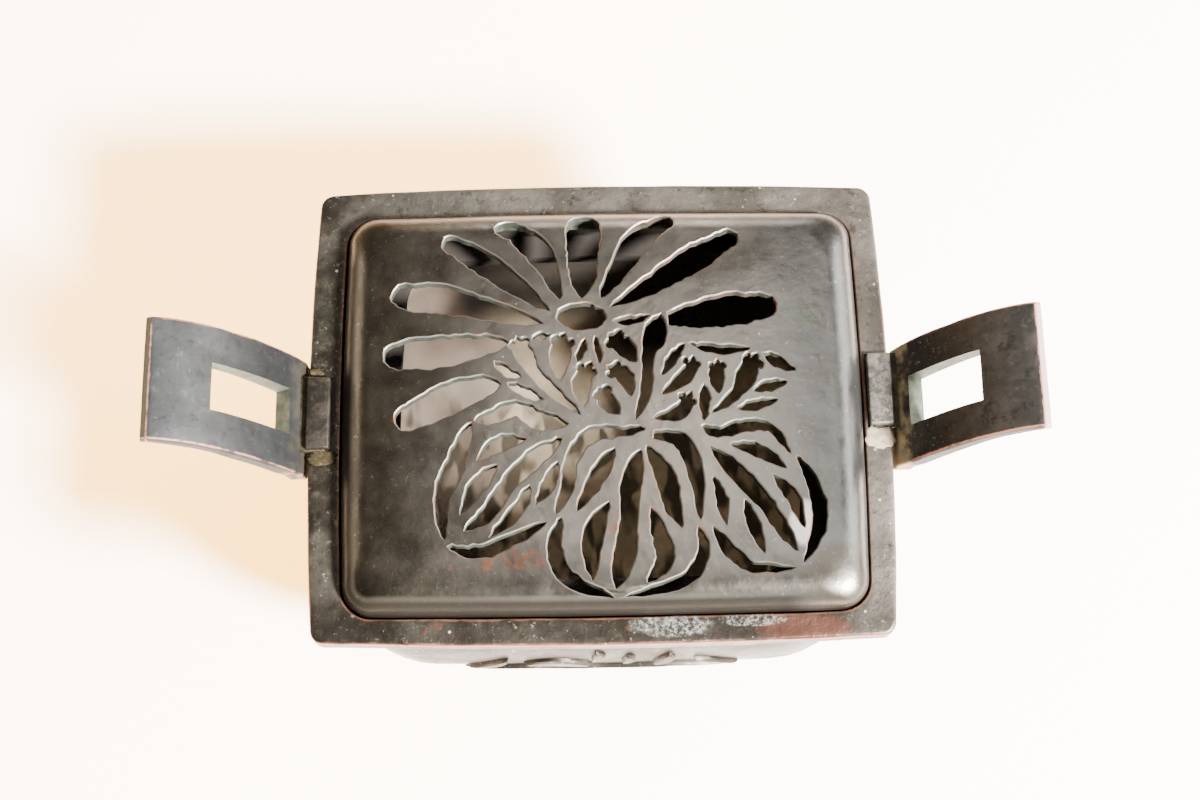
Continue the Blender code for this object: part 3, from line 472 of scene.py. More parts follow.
def bowed_outline(size_x, size_y, corner, end_bow=0.0, side_bow=0.0, corner_steps=9, side_steps=20):
    """A rounded rectangle, counter-clockwise, whose four sides swell outwards in a shallow curve."""
    half_x, half_y = size_x / 2, size_y / 2
    reach_x, reach_y = half_x - corner, half_y - corner
    points = []
    for turn, (side_x, side_y) in enumerate(((1, 1), (-1, 1), (-1, -1), (1, -1))):
        for step in range(corner_steps + 1):
            angle = QUARTER_TURN * (turn + step / corner_steps)
            points.append((side_x * reach_x + corner * math.cos(angle),
                           side_y * reach_y + corner * math.sin(angle)))
        for step in range(1, side_steps):
            share = 1 - 2 * step / side_steps
            if turn % 2 == 0:
                points.append((side_x * reach_x * share, side_y * half_y))
            else:
                points.append((side_x * half_x, side_y * reach_y * share))
    return [(x * (1 - end_bow * (y / half_y) ** 2 / half_x), y * (1 - side_bow * (x / half_x) ** 2 / half_y))
            for x, y in points]


def raised(outline, height, shift_x=0.0, shift_y=0.0):
    """An outline as a ring of places at one height."""
    return [(x + shift_x, y + shift_y, height) for x, y in outline]


def lofted(name, rings):
    """A closed skin through rings of places: the first ring is extruded to each of the others in turn."""
    deselect_all()
    count = len(rings[0])
    bpy.ops.mesh.primitive_circle_add(vertices=count, radius=1.0, enter_editmode=True)
    piece = bpy.context.object
    piece.name = name
    form = bmesh.from_edit_mesh(piece.data)
    for vertex, place in zip(form.verts, rings[0]):
        vertex.co = place
    places = {tuple(vertex.co): index for index, vertex in enumerate(form.verts)}
    for ring in rings[1:]:
        bpy.ops.mesh.extrude_region_move()
        form = bmesh.from_edit_mesh(piece.data)
        fresh = [vertex for vertex in form.verts if vertex.select]
        order = [places[tuple(vertex.co)] for vertex in fresh]
        for vertex, index in zip(fresh, order):
            vertex.co = ring[index]
        places = {tuple(vertex.co): index for vertex, index in zip(fresh, order)}
    bpy.ops.mesh.edge_face_add()
    bpy.ops.mesh.select_all(action="DESELECT")
    form = bmesh.from_edit_mesh(piece.data)
    form.verts.ensure_lookup_table()
    for vertex in form.verts[:count]:
        vertex.select = True
    form.select_flush(True)
    bpy.ops.mesh.edge_face_add()
    bpy.ops.mesh.select_all(action="SELECT")
    bpy.ops.mesh.normals_make_consistent(inside=False)
    bpy.ops.object.mode_set(mode="OBJECT")
    return piece


def stroke_samples(stroke, round_start, steps):
    """Points along a smooth line through the stroke's places, each with its width, in metres."""
    last = len(stroke) - 1
    samples = []
    for index in range(last):
        before, start = stroke[max(index - 1, 0)], stroke[index]
        end, after = stroke[index + 1], stroke[min(index + 2, last)]
        for step in range(steps):
            share = step / steps
            place = [smooth(a, b, c, d, share) for a, b, c, d in zip(before, start, end, after)]
            if start[2] == 0:
                place[2] = end[2] * (math.sqrt(1 - (1 - share) ** 2) if round_start and index == 0
                                     else swell(share))
            elif end[2] == 0:
                place[2] = start[2] * swell(1 - share)
            samples.append(place)
    samples.append(list(stroke[last]))
    return [[value * MM for value in sample] for sample in samples]


def runs(samples):
    """Each sample with the direction in which the stroke runs there."""
    for index, (x, y, width) in enumerate(samples):
        back, ahead = samples[max(index - 1, 0)], samples[min(index + 1, len(samples) - 1)]
        run = Vector((ahead[0] - back[0], ahead[1] - back[1])).normalized()
        yield Vector((x, y)), run, width


def stroke_outline(stroke, round_start=False, steps=6):
    """The closed outline of one opening: down one side of the stroke and back up the other."""
    left, right = [], []
    for place, run, width in runs(stroke_samples(stroke, round_start, steps)):
        across = Vector((-run.y, run.x)) * width / 2
        left.append(place + across)
        if width > 0:
            right.append(place - across)
    return left + right[::-1]


def oval_outline(middle, size_x, size_y, count=40):
    """An oval, given in millimetres, as an outline in metres."""
    return [Vector((middle[0] + size_x / 2 * math.cos(math.tau * step / count),
                    middle[1] + size_y / 2 * math.sin(math.tau * step / count))) * MM
            for step in range(count)]


def offset(outline, distance):
    """The outline moved outwards; it runs round the opening with its inside on one hand."""
    count = len(outline)
    area = sum(outline[index - 1].cross(outline[index]) for index in range(count))
    turn = math.copysign(1.0, area)
    moved = []
    for index, place in enumerate(outline):
        run = (outline[(index + 1) % count] - outline[index - 1]).normalized()
        moved.append(place + Vector((run.y, -run.x)) * turn * distance(place))
    return moved


class Finish:
    """One material, and short calls that add the nodes of its pattern."""

    def __init__(self, name, metallic=0.0, specular=0.5):
        self.material = bpy.data.materials.new(name)
        self.material.use_nodes = True
        tree = self.material.node_tree
        self.nodes, self.links = tree.nodes, tree.links
        self.shader = tree.nodes["Principled BSDF"]
        self.shader.inputs["Metallic"].default_value = metallic
        self.shader.inputs["Specular IOR Level"].default_value = specular
        place = self.nodes.new("ShaderNodeTexCoord").outputs["Object"]
        self.place = place
        split = self.add("SeparateXYZ", Vector=place)
        self.x, self.y, self.z = split.outputs

    def add(self, kind, settings=None, **inputs):
        """A new node with its settings and inputs."""
        node = self.nodes.new("ShaderNode" + kind)
        for key, value in (settings or {}).items():
            setattr(node, key, value)
        for key, value in inputs.items():
            self.feed(node.inputs[key], value)
        return node

    def feed(self, socket, value):
        """Link another node's output to an input, or set the input to a plain value or colour."""
        if isinstance(value, bpy.types.NodeSocket):
            self.links.new(value, socket)
        elif hasattr(value, "__len__") and len(value) == 3 and len(socket.default_value) == 4:
            socket.default_value = (*value, 1.0)
        else:
            socket.default_value = value

    def math(self, operation, first, second=0.0):
        node = self.add("Math", {"operation": operation})
        self.feed(node.inputs[0], first)
        self.feed(node.inputs[1], second)
        return node.outputs[0]

    def noise(self, grain, detail=4.0, roughness=0.55, distortion=0.0, stretch=(1.0, 1.0, 1.0), turn=0.0,
              seed=0.0):
        """A cloudy pattern whose clouds are about one grain across."""
        place = self.add("Mapping", Vector=self.place, Scale=stretch, Rotation=(0.0, 0.0, turn),
                         Location=(seed, seed, seed)).outputs["Vector"]
        node = self.add("TexNoise", Vector=place, Scale=1 / grain, Detail=detail, Roughness=roughness,
                        Distortion=distortion)
        return node.outputs["Fac"]

    def specks(self, grain, share, seed=0.0):
        """Scattered spots: one in some of the cells, share of a cell wide."""
        place = self.add("Mapping", Vector=self.place, Location=(seed, seed, seed)).outputs["Vector"]
        cells = self.add("TexVoronoi", Vector=place, Scale=1 / grain)
        return self.steps(cells.outputs["Distance"], share, share * 0.55)

    def steps(self, value, low, high):
        """From 0 at low to 1 at high, softly."""
        node = self.add("MapRange", {"interpolation_type": "SMOOTHSTEP"}, Value=value)
        node.inputs["From Min"].default_value = low
        node.inputs["From Max"].default_value = high
        return node.outputs["Result"]

    def both(self, first, second):
        """One mask inside the other, or a mask weakened to a share."""
        return self.math("MULTIPLY", first, second)

    def either(self, first, second):
        """Two masks together."""
        return self.math("MAXIMUM", first, second)

    def near(self, x, y, reach_x, reach_y, ragged=0.0):
        """A soft patch round a place, in metres, with a ragged edge."""
        across = self.math("DIVIDE", self.math("SUBTRACT", self.x, x), reach_x)
        along = self.math("DIVIDE", self.math("SUBTRACT", self.y, y), reach_y)
        away = self.math("SQRT", self.math("ADD", self.both(across, across), self.both(along, along)))
        if ragged:
            away = self.math("ADD", away, self.math("MULTIPLY", self.noise(0.004, 5.0, 0.65), ragged))
            away = self.math("SUBTRACT", away, ragged / 2)
        return self.steps(away, 1.15, 0.75)

    def mix(self, share, first, second):
        """The first colour, and the second where the mask is 1."""
        node = self.add("Mix", {"data_type": "RGBA"})
        self.feed(node.inputs["Factor"], share)
        self.feed(node.inputs[6], first)
        self.feed(node.inputs[7], second)
        return node.outputs[2]

    def blend(self, share, first, second):
        """The same for plain numbers."""
        node = self.add("Mix")
        self.feed(node.inputs["Factor"], share)
        self.feed(node.inputs[2], first)
        self.feed(node.inputs[3], second)
        return node.outputs[0]

    def rim_inset(self, body):
        """How far in from the rim's outer edge a place lies."""
        half_x, half_y = body.rim_length / 2, body.rim_depth / 2
        bow_x = self.both(self.math("POWER", self.math("DIVIDE", self.y, half_y), 2.0), body.end_bow)
        bow_y = self.both(self.math("POWER", self.math("DIVIDE", self.x, half_x), 2.0), body.side_bow)
        room_x = self.math("SUBTRACT", half_x, self.math("ADD", self.math("ABSOLUTE", self.x), bow_x))
        room_y = self.math("SUBTRACT", half_y, self.math("ADD", self.math("ABSOLUTE", self.y), bow_y))
        return self.math("MINIMUM", room_x, room_y)

    def well_distance(self, lid):
        """How far out from the edge of the lid's well a place lies."""
        beyond = []
        for place, across, half, half_across, bow, shift in (
                (self.x, self.y, lid.length / 2, lid.depth / 2, lid.end_bow, lid.shift_x),
                (self.y, self.x, lid.depth / 2, lid.length / 2, lid.side_bow, lid.shift_y)):
            bowed = self.both(self.math("POWER", self.math("DIVIDE", across, half_across), 2.0), bow)
            reach = self.math("ADD", self.math("ABSOLUTE", self.math("SUBTRACT", place, shift)), bowed)
            beyond.append(self.either(self.math("SUBTRACT", reach, half - lid.corner), 0.0))
        squares = [self.both(value, value) for value in beyond]
        away = self.math("SQRT", self.math("ADD", *squares))
        return self.math("SUBTRACT", away, lid.corner + lid.seat_gap)

    def done(self, colour, roughness, height=None, depth=0.0002):
        """Join the pattern to the shader: colour, roughness and a bump of the given depth in metres."""
        self.feed(self.shader.inputs["Base Color"], colour)
        self.feed(self.shader.inputs["Roughness"], roughness)
        if height is not None:
            bump = self.add("Bump", Height=height, Distance=depth, Strength=1.0)
            self.links.new(bump.outputs["Normal"], self.shader.inputs["Normal"])
        return self.material


def rim_face(finish, body):
    """The flat top of the rim."""
    return finish.steps(finish.z, body.height - 0.0012, body.height - 0.0006)


def patina(finish, clouds, fine, body, colours):
    """The vessel's clouded and mottled patina, with painted light that makes the rim's right and back paler
    and painted shade that makes the front darker.
    """
    colour = finish.mix(finish.steps(clouds, 0.42, 0.66), colours.patina, colours.patina_grey)
    # Painted light: the rim's top is paler on its right and back.
    painted_light_side = finish.either(finish.steps(finish.x, 0.052, 0.068), finish.steps(finish.y, 0.042, 0.055))
    past_left = finish.steps(finish.x, -0.075, -0.045)
    painted_light_side = finish.both(painted_light_side, finish.both(rim_face(finish, body), past_left))
    colour = finish.mix(finish.both(painted_light_side, finish.blend(clouds, 0.5, 1.2)), colour, colours.brightened)
    mottle = finish.noise(0.0032, 7.0, 0.75, seed=11.0)
    colour = finish.mix(finish.both(finish.steps(mottle, 0.52, 0.66), 0.75), colour, colours.mottle)
    colour = finish.mix(finish.both(finish.steps(mottle, 0.46, 0.34), 0.7), colour, colours.patina)
    green = finish.steps(finish.noise(0.011, 5.0, 0.6, seed=2.0), 0.52, 0.68)
    colour = finish.mix(finish.both(green, 0.2), colour, colours.verdigris)
    # Painted shade: everything at the front is darkened towards the dark patina.
    colour = finish.mix(finish.both(finish.steps(finish.y, -0.045, -0.055), 0.6), colour, colours.patina)
    return finish.mix(finish.both(finish.steps(fine, 0.60, 0.74), 0.6), colour, colours.pale)


def rim_wear(finish, colour, body, lid, colours):
    """Copper along the rim's two edges, and red-brown losses and pale bloom on its front."""
    ragged = finish.both(finish.noise(0.006, 4.0, 0.6, seed=1.0), 0.0013)
    outer = finish.steps(finish.math("SUBTRACT", finish.rim_inset(body), ragged), 0.0, -0.0006)
    ragged = finish.both(finish.noise(0.005, seed=3.0), 0.0012)
    inner = finish.steps(finish.math("SUBTRACT", finish.well_distance(lid), ragged), 0.0002, -0.0003)
    top = finish.steps(finish.z, body.height - 0.0024, body.height - 0.0012)
    front = finish.steps(finish.y, -0.045, -0.055)
    worn = finish.either(outer, finish.both(inner, 0.8))
    worn = finish.both(worn, finish.blend(front, 0.30, 0.9))
    colour = finish.mix(finish.both(worn, top), colour, colours.copper)
    face = rim_face(finish, body)
    losses = finish.both(finish.steps(finish.noise(0.008, 4.0, 0.6, seed=5.0), 0.60, 0.66), front)
    losses = finish.either(losses, finish.near(*MARKS["bare patch on the rim"]))
    colour = finish.mix(finish.both(losses, face), colour, colours.red_brown)
    bloom = finish.either(finish.near(*MARKS["wide bloom on the rim"]),
                          finish.near(*MARKS["narrow bloom on the rim"]))
    bloom = finish.both(bloom, finish.steps(finish.noise(0.0011, 6.0, 0.8, seed=7.0), 0.44, 0.66))
    return finish.mix(finish.both(bloom, face), colour, colours.pale)


def inside_dust(finish, body, colours):
    """Ash dust, thinner at the left, with the shadows of the lid's bars painted on the floor, sooty bronze
    darkened as painted shade on the upper walls, and painted shade at the back.
    """
    ash = finish.steps(finish.noise(0.02, 5.0, 0.6, seed=9.0), 0.35, 0.65)
    colour = finish.mix(ash, colours.dust, shade(colours.dust, 0.7))
    colour = finish.mix(finish.steps(finish.x, -0.020, -0.036), colour, colours.dust_left)
    # Painted shadow: blurred dark stripes, the shadows of the lid's bars on the floor.
    bar_shadow_pattern = finish.noise(0.0052, 1.0, 0.4, 0.5, stretch=(1.0, 0.45, 1.0), turn=0.7, seed=14.0)
    painted_bar_shadows = finish.both(finish.steps(bar_shadow_pattern, 0.43, 0.58), finish.steps(finish.y, 0.026, 0.014))
    colour = finish.mix(finish.both(painted_bar_shadows, 0.88), colour, shade(colours.dust, 0.10))
    # Sooty bronze and painted shade: the inside walls darken towards the top, under the lid.
    grime_and_shading = finish.steps(finish.z, body.height - 0.034, body.height - 0.016)
    colour = finish.mix(grime_and_shading, colour, colours.soot_and_shade)
    # Painted shade: the back of the inside is darkened where little light reaches.
    back_left = finish.both(finish.steps(finish.y, 0.040, 0.050), finish.steps(finish.x, -0.050, -0.036))
    back = finish.both(finish.steps(finish.y, 0.026, 0.040), finish.steps(finish.x, -0.020, 0.014))
    return finish.mix(finish.both(finish.either(back_left, back), 0.97), colour, colours.soot_and_shade)


def vessel_finish(body, lid, right, left, colours):
    """Dark cast bronze with worn edges, rubbed carving and a dusty inside."""
    finish = Finish("vessel bronze")
    clouds = finish.noise(0.018, 6.0, 0.62, 0.4)
    fine = finish.noise(0.0016, 5.0, 0.7)
    colour = patina(finish, clouds, fine, body, colours)
    for side, plate in ((1, right), (-1, left)):
        # Painted shadow: a thin dark line on the rim beside each tab, where a gap would lie in shade.
        gap_shadow = finish.near(side * (body.rim_length / 2 - 0.0064), plate.tab_y + 0.0012, 0.0008, 0.0088, 0.5)
        colour = finish.mix(gap_shadow, colour, colours.soot_and_shade)
    colour = finish.mix(finish.specks(0.0065, 0.07, seed=3.0), colour, colours.pale)
    colour = rim_wear(finish, colour, body, lid, colours)
    carved = finish.steps(finish.add("Attribute", {"attribute_name": "carving"}).outputs["Fac"], 0.3, 0.9)
    brightened = finish.both(carved, finish.steps(finish.noise(0.004, 4.0, seed=6.0), 0.3, 0.6))
    colour = finish.mix(finish.both(brightened, 0.5), colour, colours.copper)
    inside = finish.add("Attribute", {"attribute_name": "inside"}).outputs["Fac"]
    colour = finish.mix(inside, colour, inside_dust(finish, body, colours))
    finish.feed(finish.shader.inputs["Metallic"], finish.blend(inside, 0.93, 0.0))
    finish.feed(finish.shader.inputs["Specular IOR Level"], finish.blend(inside, 0.5, 0.1))
    roughness = finish.blend(finish.steps(clouds, 0.35, 0.7), 0.36, 0.58)
    roughness = finish.blend(inside, roughness, 0.9)
    height = finish.math("ADD", finish.noise(0.0035, 6.0, 0.6), finish.both(fine, 0.35))
    return finish.done(colour, roughness, height, 0.00022)


def lid_marks(finish, colour, colours):
    """A corner darkened as painted shade, a painted highlight on one bar, worn places, two coloured spots,
    pale specks and a few coppery scratches.
    """
    # Painted shade on the lid's front-right corner.
    colour = finish.mix(finish.both(finish.near(*MARKS["painted shade at the corner"]), 0.5), colour, colours.lid_shaded_brown)
    # Painted highlight: a bright reflection painted onto one bar of the right leaf.
    colour = finish.mix(finish.both(finish.near(*MARKS["polished bar"]), 0.75), colour, colours.painted_highlight)
    fine = finish.noise(0.0012, 5.0, 0.65)
    colour = finish.mix(finish.both(finish.steps(fine, 0.60, 0.76), 0.4), colour, colours.pale)
    wear = finish.either(finish.near(*MARKS["wear under the left leaf"]),
                         finish.near(*MARKS["wear on the centre leaf"]))
    wear = finish.both(wear, finish.steps(finish.noise(0.003, 4.0, 0.6, seed=4.0), 0.45, 0.62))
    colour = finish.mix(finish.both(wear, 0.75), colour, colours.copper)
    colour = finish.mix(finish.near(*MARKS["red spot"]), colour, colours.red_spot)
    colour = finish.mix(finish.both(finish.near(*MARKS["green spot"]), 0.35), colour, colours.verdigris)
    colour = finish.mix(finish.specks(0.011, 0.035, seed=1.0), colour, colours.pale)
    scratches = finish.steps(finish.noise(0.0009, 2.0, 0.5, stretch=(0.03, 1.0, 1.0), turn=0.35), 0.70, 0.74)
    scratches = finish.both(scratches, finish.near(*MARKS["scratched corner"]))
    return finish.mix(scratches, colour, colours.copper), fine


def lid_finish(lid, colours):
    """Satin bronze with painted shade: browner on the left and in front, and a dark foot where no light
    reaches it.
    """
    finish = Finish("lid bronze")
    clouds = finish.noise(0.03, 4.0, 0.5)
    along = finish.math("ADD", finish.x, finish.both(clouds, 0.03))
    # Painted shade: the tone runs from dark brown on the left to paler bronze in the middle.
    colour = finish.mix(finish.steps(along, -0.045, 0.005), colours.lid_shaded_brown, colours.lid)
    colour = finish.mix(finish.steps(along, 0.035, 0.070), colour, colours.lid_right)
    # Painted shade: the front of the lid is darkened towards the brown.
    front = finish.steps(finish.y, -0.040, -0.050)
    colour = finish.mix(finish.both(front, 0.6), colour, shade(colours.lid_shaded_brown, 0.8))
    colour, fine = lid_marks(finish, colour, colours)
    # Painted shade: a dark band along the lid's foot, narrower where the lamps light the right and back.
    from_edge = finish.math("ADD", finish.well_distance(lid), lid.seat_gap)
    lit = finish.both(finish.steps(finish.y, 0.036, 0.048), 0.8)
    lit = finish.either(finish.steps(finish.x, 0.045, 0.062), lit)
    foot = finish.both(finish.steps(from_edge, -0.0042, -0.0020), finish.blend(lit, 0.95, 0.1))
    colour = finish.mix(foot, colour, shade(colours.patina, 0.3))
    finish.feed(finish.shader.inputs["Metallic"], finish.blend(foot, 1.0, 0.0))
    finish.feed(finish.shader.inputs["Specular IOR Level"], finish.blend(foot, 0.5, 0.05))
    roughness = finish.blend(finish.steps(finish.noise(0.008, 5.0, 0.6, seed=6.0), 0.3, 0.7), 0.27, 0.37)
    height = finish.math("ADD", finish.noise(0.006, 3.0, 0.5), finish.both(fine, 0.12))
    return finish.done(colour, roughness, height, 0.00018)


def wall_finish(name, base, colours):
    """Filed metal with a pale green-grey film and pinkish copper stains."""
    finish = Finish(name, metallic=0.4, specular=0.2)
    film = finish.noise(0.003, 5.0, 0.6)
    colour = finish.mix(finish.steps(film, 0.35, 0.7), base, shade(base, 2.0))
    back_right = finish.both(finish.steps(finish.x, -0.002, 0.012), finish.steps(finish.y, 0.008, 0.018))
    stained = finish.steps(finish.noise(0.004, 4.0, 0.6, seed=3.0), 0.60, 0.68)
    stained = finish.either(stained, finish.both(back_right, finish.steps(film, 0.40, 0.52)))
    colour = finish.mix(finish.both(stained, 0.8), colour, colours.stain)
    return finish.done(colour, 0.6, film, 0.0002)


def filed_finish(colours):
    """The bright edge that the file left round each opening, coppery in places."""
    finish = Finish("filed edge", metallic=0.9)
    patches = finish.steps(finish.noise(0.009, 4.0, 0.6), 0.48, 0.62)
    colour = finish.mix(finish.both(patches, 0.6), shade(colours.lid, 1.1), colours.copper)
    return finish.done(colour, 0.5)


def plate_patina(finish, clouds, dark, light, colours):
    """A plate's clouded patina with darker and paler patches and a little green."""
    colour = finish.mix(finish.steps(clouds, 0.40, 0.65), dark, light)
    patches = finish.noise(0.0045, 7.0, 0.75, seed=6.0)
    colour = finish.mix(finish.both(finish.steps(patches, 0.48, 0.36), 0.75), colour, shade(dark, 0.4))
    colour = finish.mix(finish.both(finish.steps(patches, 0.56, 0.68), 0.5), colour, shade(light, 1.7))
    mottle = finish.steps(finish.noise(0.0018, 5.0, 0.7), 0.60, 0.78)
    return finish.mix(finish.both(mottle, 0.45), colour, colours.verdigris)


def plate_wear(finish, plate, aside, end):
    """A mask of the worn lines along a plate's tip and its two long edges."""
    from_tip = finish.math("ABSOLUTE", finish.math("SUBTRACT", finish.math("ABSOLUTE", finish.x), end))
    ragged = finish.both(finish.noise(0.0015, 3.0, 0.6, seed=3.0), 0.0006)
    from_edge = finish.math("SUBTRACT", plate.width / 2, aside)
    on_edge = finish.both(finish.steps(finish.math("ADD", from_edge, ragged), 0.0011, 0.0008),
                          finish.steps(from_edge, 0.0001, 0.0004))
    worn = finish.either(finish.steps(finish.math("ADD", from_tip, ragged), 0.0006, 0.0004), on_edge)
    return finish.both(worn, finish.steps(finish.noise(0.006, 4.0, 0.6, seed=2.0), 0.36, 0.50))


def handle_finish(name, plate, body, side, colours):
    """Dull patina with pale specks and dirt at the root, lightened on the right as painted light, and copper
    where the edges are worn.
    """
    finish = Finish(name + " handle bronze", specular=0.3)
    clouds = finish.noise(0.012, 5.0, 0.6, 0.3)
    dark, light, tip = colours.handle_right, colours.handle_right_brown, colours.tip_right
    # Painted light: the right root's dirt is lightened fivefold, standing for light on a root that lies in
    # shade.
    speckle_share, grime_and_shading = 0.85, shade(colours.dirt, 5.0)
    if side < 0:
        dark, light, tip = colours.handle_left, colours.handle_left_grey, colours.tip_left
        speckle_share, grime_and_shading = 0.3, shade(colours.dirt, 0.3)
    colour = plate_patina(finish, clouds, dark, light, colours)
    out = finish.math("SUBTRACT", finish.math("ABSOLUTE", finish.x), body.rim_length / 2)
    out = finish.math("ADD", out, finish.both(finish.noise(0.004, 5.0, 0.6, seed=4.0), 0.008))
    root = finish.steps(out, 0.020, 0.010)
    speckled = finish.both(root, finish.steps(finish.noise(0.0011, 5.0, 0.75, seed=8.0), 0.60, 0.66))
    aside = finish.math("ABSOLUTE", finish.math("SUBTRACT", finish.y, plate.middle_y))
    speckled = finish.both(speckled, finish.steps(aside, 0.005, 0.009))
    colour = finish.mix(finish.both(speckled, speckle_share), colour, colours.filler)
    if side < 0:
        colour = finish.mix(finish.both(finish.steps(out, 0.030, 0.010), 0.75), colour, shade(dark, 0.35))
    dirt = finish.both(finish.steps(out, 0.0085, 0.0055), finish.blend(finish.noise(0.003, 4.0), 0.5, 1.1))
    colour = finish.mix(finish.both(dirt, 0.8), colour, grime_and_shading)
    end = body.rim_length / 2 + plate.reach
    at_tip = finish.steps(finish.math("ABSOLUTE", finish.x), end - 0.0001, end + 0.0003)
    colour = finish.mix(at_tip, colour, tip)
    colour = finish.mix(finish.both(plate_wear(finish, plate, aside, end), 0.9), colour, colours.copper)
    soiled = finish.either(finish.either(dirt, speckled), at_tip)
    finish.feed(finish.shader.inputs["Metallic"], finish.blend(soiled, 0.5, 0.1))
    roughness = finish.blend(finish.steps(clouds, 0.35, 0.7), 0.52, 0.66)
    grain = finish.both(finish.noise(0.0012, 3.0, 0.6), 0.3)
    height = finish.math("ADD", finish.noise(0.004, 5.0, 0.6), grain)
    return finish.done(colour, roughness, height, 0.00012)


def tab_finish(name, base):
    """Dark brown bronze under a thin skin of dirt."""
    finish = Finish(name + " bronze", metallic=0.6, specular=0.3)
    clouds = finish.noise(0.004, 6.0, 0.7)
    colour = finish.mix(finish.steps(clouds, 0.4, 0.62), shade(base, 0.35), base)
    pale = finish.steps(finish.noise(0.0013, 5.0, 0.7, seed=2.0), 0.58, 0.70)
    colour = finish.mix(finish.both(pale, 0.6), colour, shade(base, 2.2))
    return finish.done(colour, 0.5, clouds, 0.0004)


def filler_finish(name, base, colours):
    """Old filler, stained by the bronze beside it."""
    finish = Finish(name, specular=0.1)
    clouds = finish.noise(0.0035, 6.0, 0.65, stretch=(0.5, 1.0, 1.0))
    colour = finish.mix(finish.steps(clouds, 0.38, 0.62), base, shade(base, 0.6))
    stains = finish.steps(finish.noise(0.0014, 5.0, 0.7, seed=1.0), 0.54, 0.64)
    colour = finish.mix(finish.both(stains, 0.6), colour, colours.dirt)
    return finish.done(colour, 0.8, clouds, 0.0004)


def oblong(name, middle, size, turn=0.0, rounding=0.0):
    """A block with its edges rounded, turned about Y."""
    deselect_all()
    bpy.ops.mesh.primitive_cube_add(size=1.0)
    block = bpy.context.object
    block.name = name
    block.dimensions = size
    bpy.ops.object.transform_apply(location=True, rotation=True, scale=True)
    if rounding:
        apply(block, "BEVEL", width=rounding, segments=3, limit_method="NONE")
    block.data.transform(Matrix.Translation(middle) @ Matrix.Rotation(turn, 4, "Y"))
    return block


def vessel_outline(size_x, size_y, corner, body):
    """A rounded rectangle with the vessel's bowed sides."""
    return bowed_outline(size_x, size_y, corner, body.end_bow, body.side_bow)


def lower_wall(body, inset, bottom, steps):
    """Rings from the base out to the belly."""
    rings = []
    for step in range(steps + 1):
        share = step / steps
        out = swell(share)
        outline = vessel_outline(between(body.base_length, body.belly_length, out) - 2 * inset,
                                 between(body.base_depth, body.belly_depth, out) - 2 * inset,
                                 between(body.base_corner, body.belly_corner, out) - inset, body)
        rings.append(raised(outline, between(bottom, body.belly_height, rise(share))))
    return rings


def shoulder_wall(body, inset, top, steps):
    """Rings from the belly in to the neck."""
    rings = []
    for step in range(1, steps + 1):
        share = step / steps
        pull = rise(share)
        neck_length = body.rim_length - 2 * body.neck_inset
        neck_depth = body.rim_depth - 2 * body.neck_inset
        outline = vessel_outline(between(body.belly_length, neck_length, pull) - 2 * inset,
                                 between(body.belly_depth, neck_depth, pull) - 2 * inset,
                                 between(body.belly_corner, body.neck_corner, pull) - inset, body)
        rings.append(raised(outline, between(body.belly_height, top, swell(share))))
    return rings


def neck_ring(body, inset, height):
    """The neck's outline, moved in by an inset."""
    return raised(vessel_outline(body.rim_length - 2 * (body.neck_inset + inset),
                                 body.rim_depth - 2 * (body.neck_inset + inset),
                                 body.neck_corner - inset, body), height)


def rim_ring(body, inset, height):
    """The rim's outer outline, moved in by an inset."""
    return raised(vessel_outline(body.rim_length - 2 * inset, body.rim_depth - 2 * inset, body.rim_corner,
                                 body), height)


def well_ring(lid, inset, height):
    """The edge of the well that the lid drops into, which follows the lid's own outline."""
    room = lid.seat_gap - inset
    return raised(bowed_outline(lid.length + 2 * room, lid.depth + 2 * room, lid.corner + room, lid.end_bow,
                                lid.side_bow), height, lid.shift_x, lid.shift_y)


def rim_rings(body, lid, edge_steps=4, band_steps=5):
    """Round the rim: its lower edge, its side, its upper edge, the flat band and the well's edge."""
    low, edge = body.height - body.rim_thickness, body.rim_edge
    rings = []
    for step in range(edge_steps + 1):
        share = step / edge_steps
        rings.append(rim_ring(body, edge * (1 - swell(share)), low + edge * rise(share)))
    rings.append(rim_ring(body, 0, body.height - body.rim_thickness / 2))
    for step in range(edge_steps + 1):
        share = step / edge_steps
        rings.append(rim_ring(body, edge * rise(share), body.height - edge * (1 - swell(share))))
    outer = rings[-1]
    well = well_ring(lid, -edge / 2, body.height)
    for step in range(1, band_steps):
        share = step / band_steps
        rings.append([tuple(between(a, b, share) for a, b in zip(start, end))
                      for start, end in zip(outer, well)])
    for step in range(edge_steps + 1):
        share = step / edge_steps
        rings.append(well_ring(lid, edge / 2 * (swell(share) - 1), body.height - edge / 2 * rise(share)))
    return rings


def vessel_rings(body, lid):
    """The skin in two runs: up the outside and over the rim, then over the ledge and down the inside."""
    ledge_top = body.height - body.ledge_drop
    ledge_bottom = ledge_top - body.ledge_thickness
    outside = lower_wall(body, 0, body.leg_height, 14) + shoulder_wall(body, 0, body.neck_height, 9)
    outside.append(neck_ring(body, 0, body.height - body.rim_thickness))
    mouth = vessel_outline(body.mouth_length, body.mouth_depth, body.mouth_corner, body)
    ledge = [well_ring(lid, 0, ledge_top), raised(mouth, ledge_top), raised(mouth, ledge_bottom),
             neck_ring(body, body.wall, ledge_bottom)]
    neck = min(body.neck_height, ledge_bottom - body.wall)
    inside = shoulder_wall(body, body.wall, neck, 6)[::-1]
    inside += lower_wall(body, body.wall, body.leg_height + body.floor, 10)[::-1]
    return outside + rim_rings(body, lid), ledge + inside


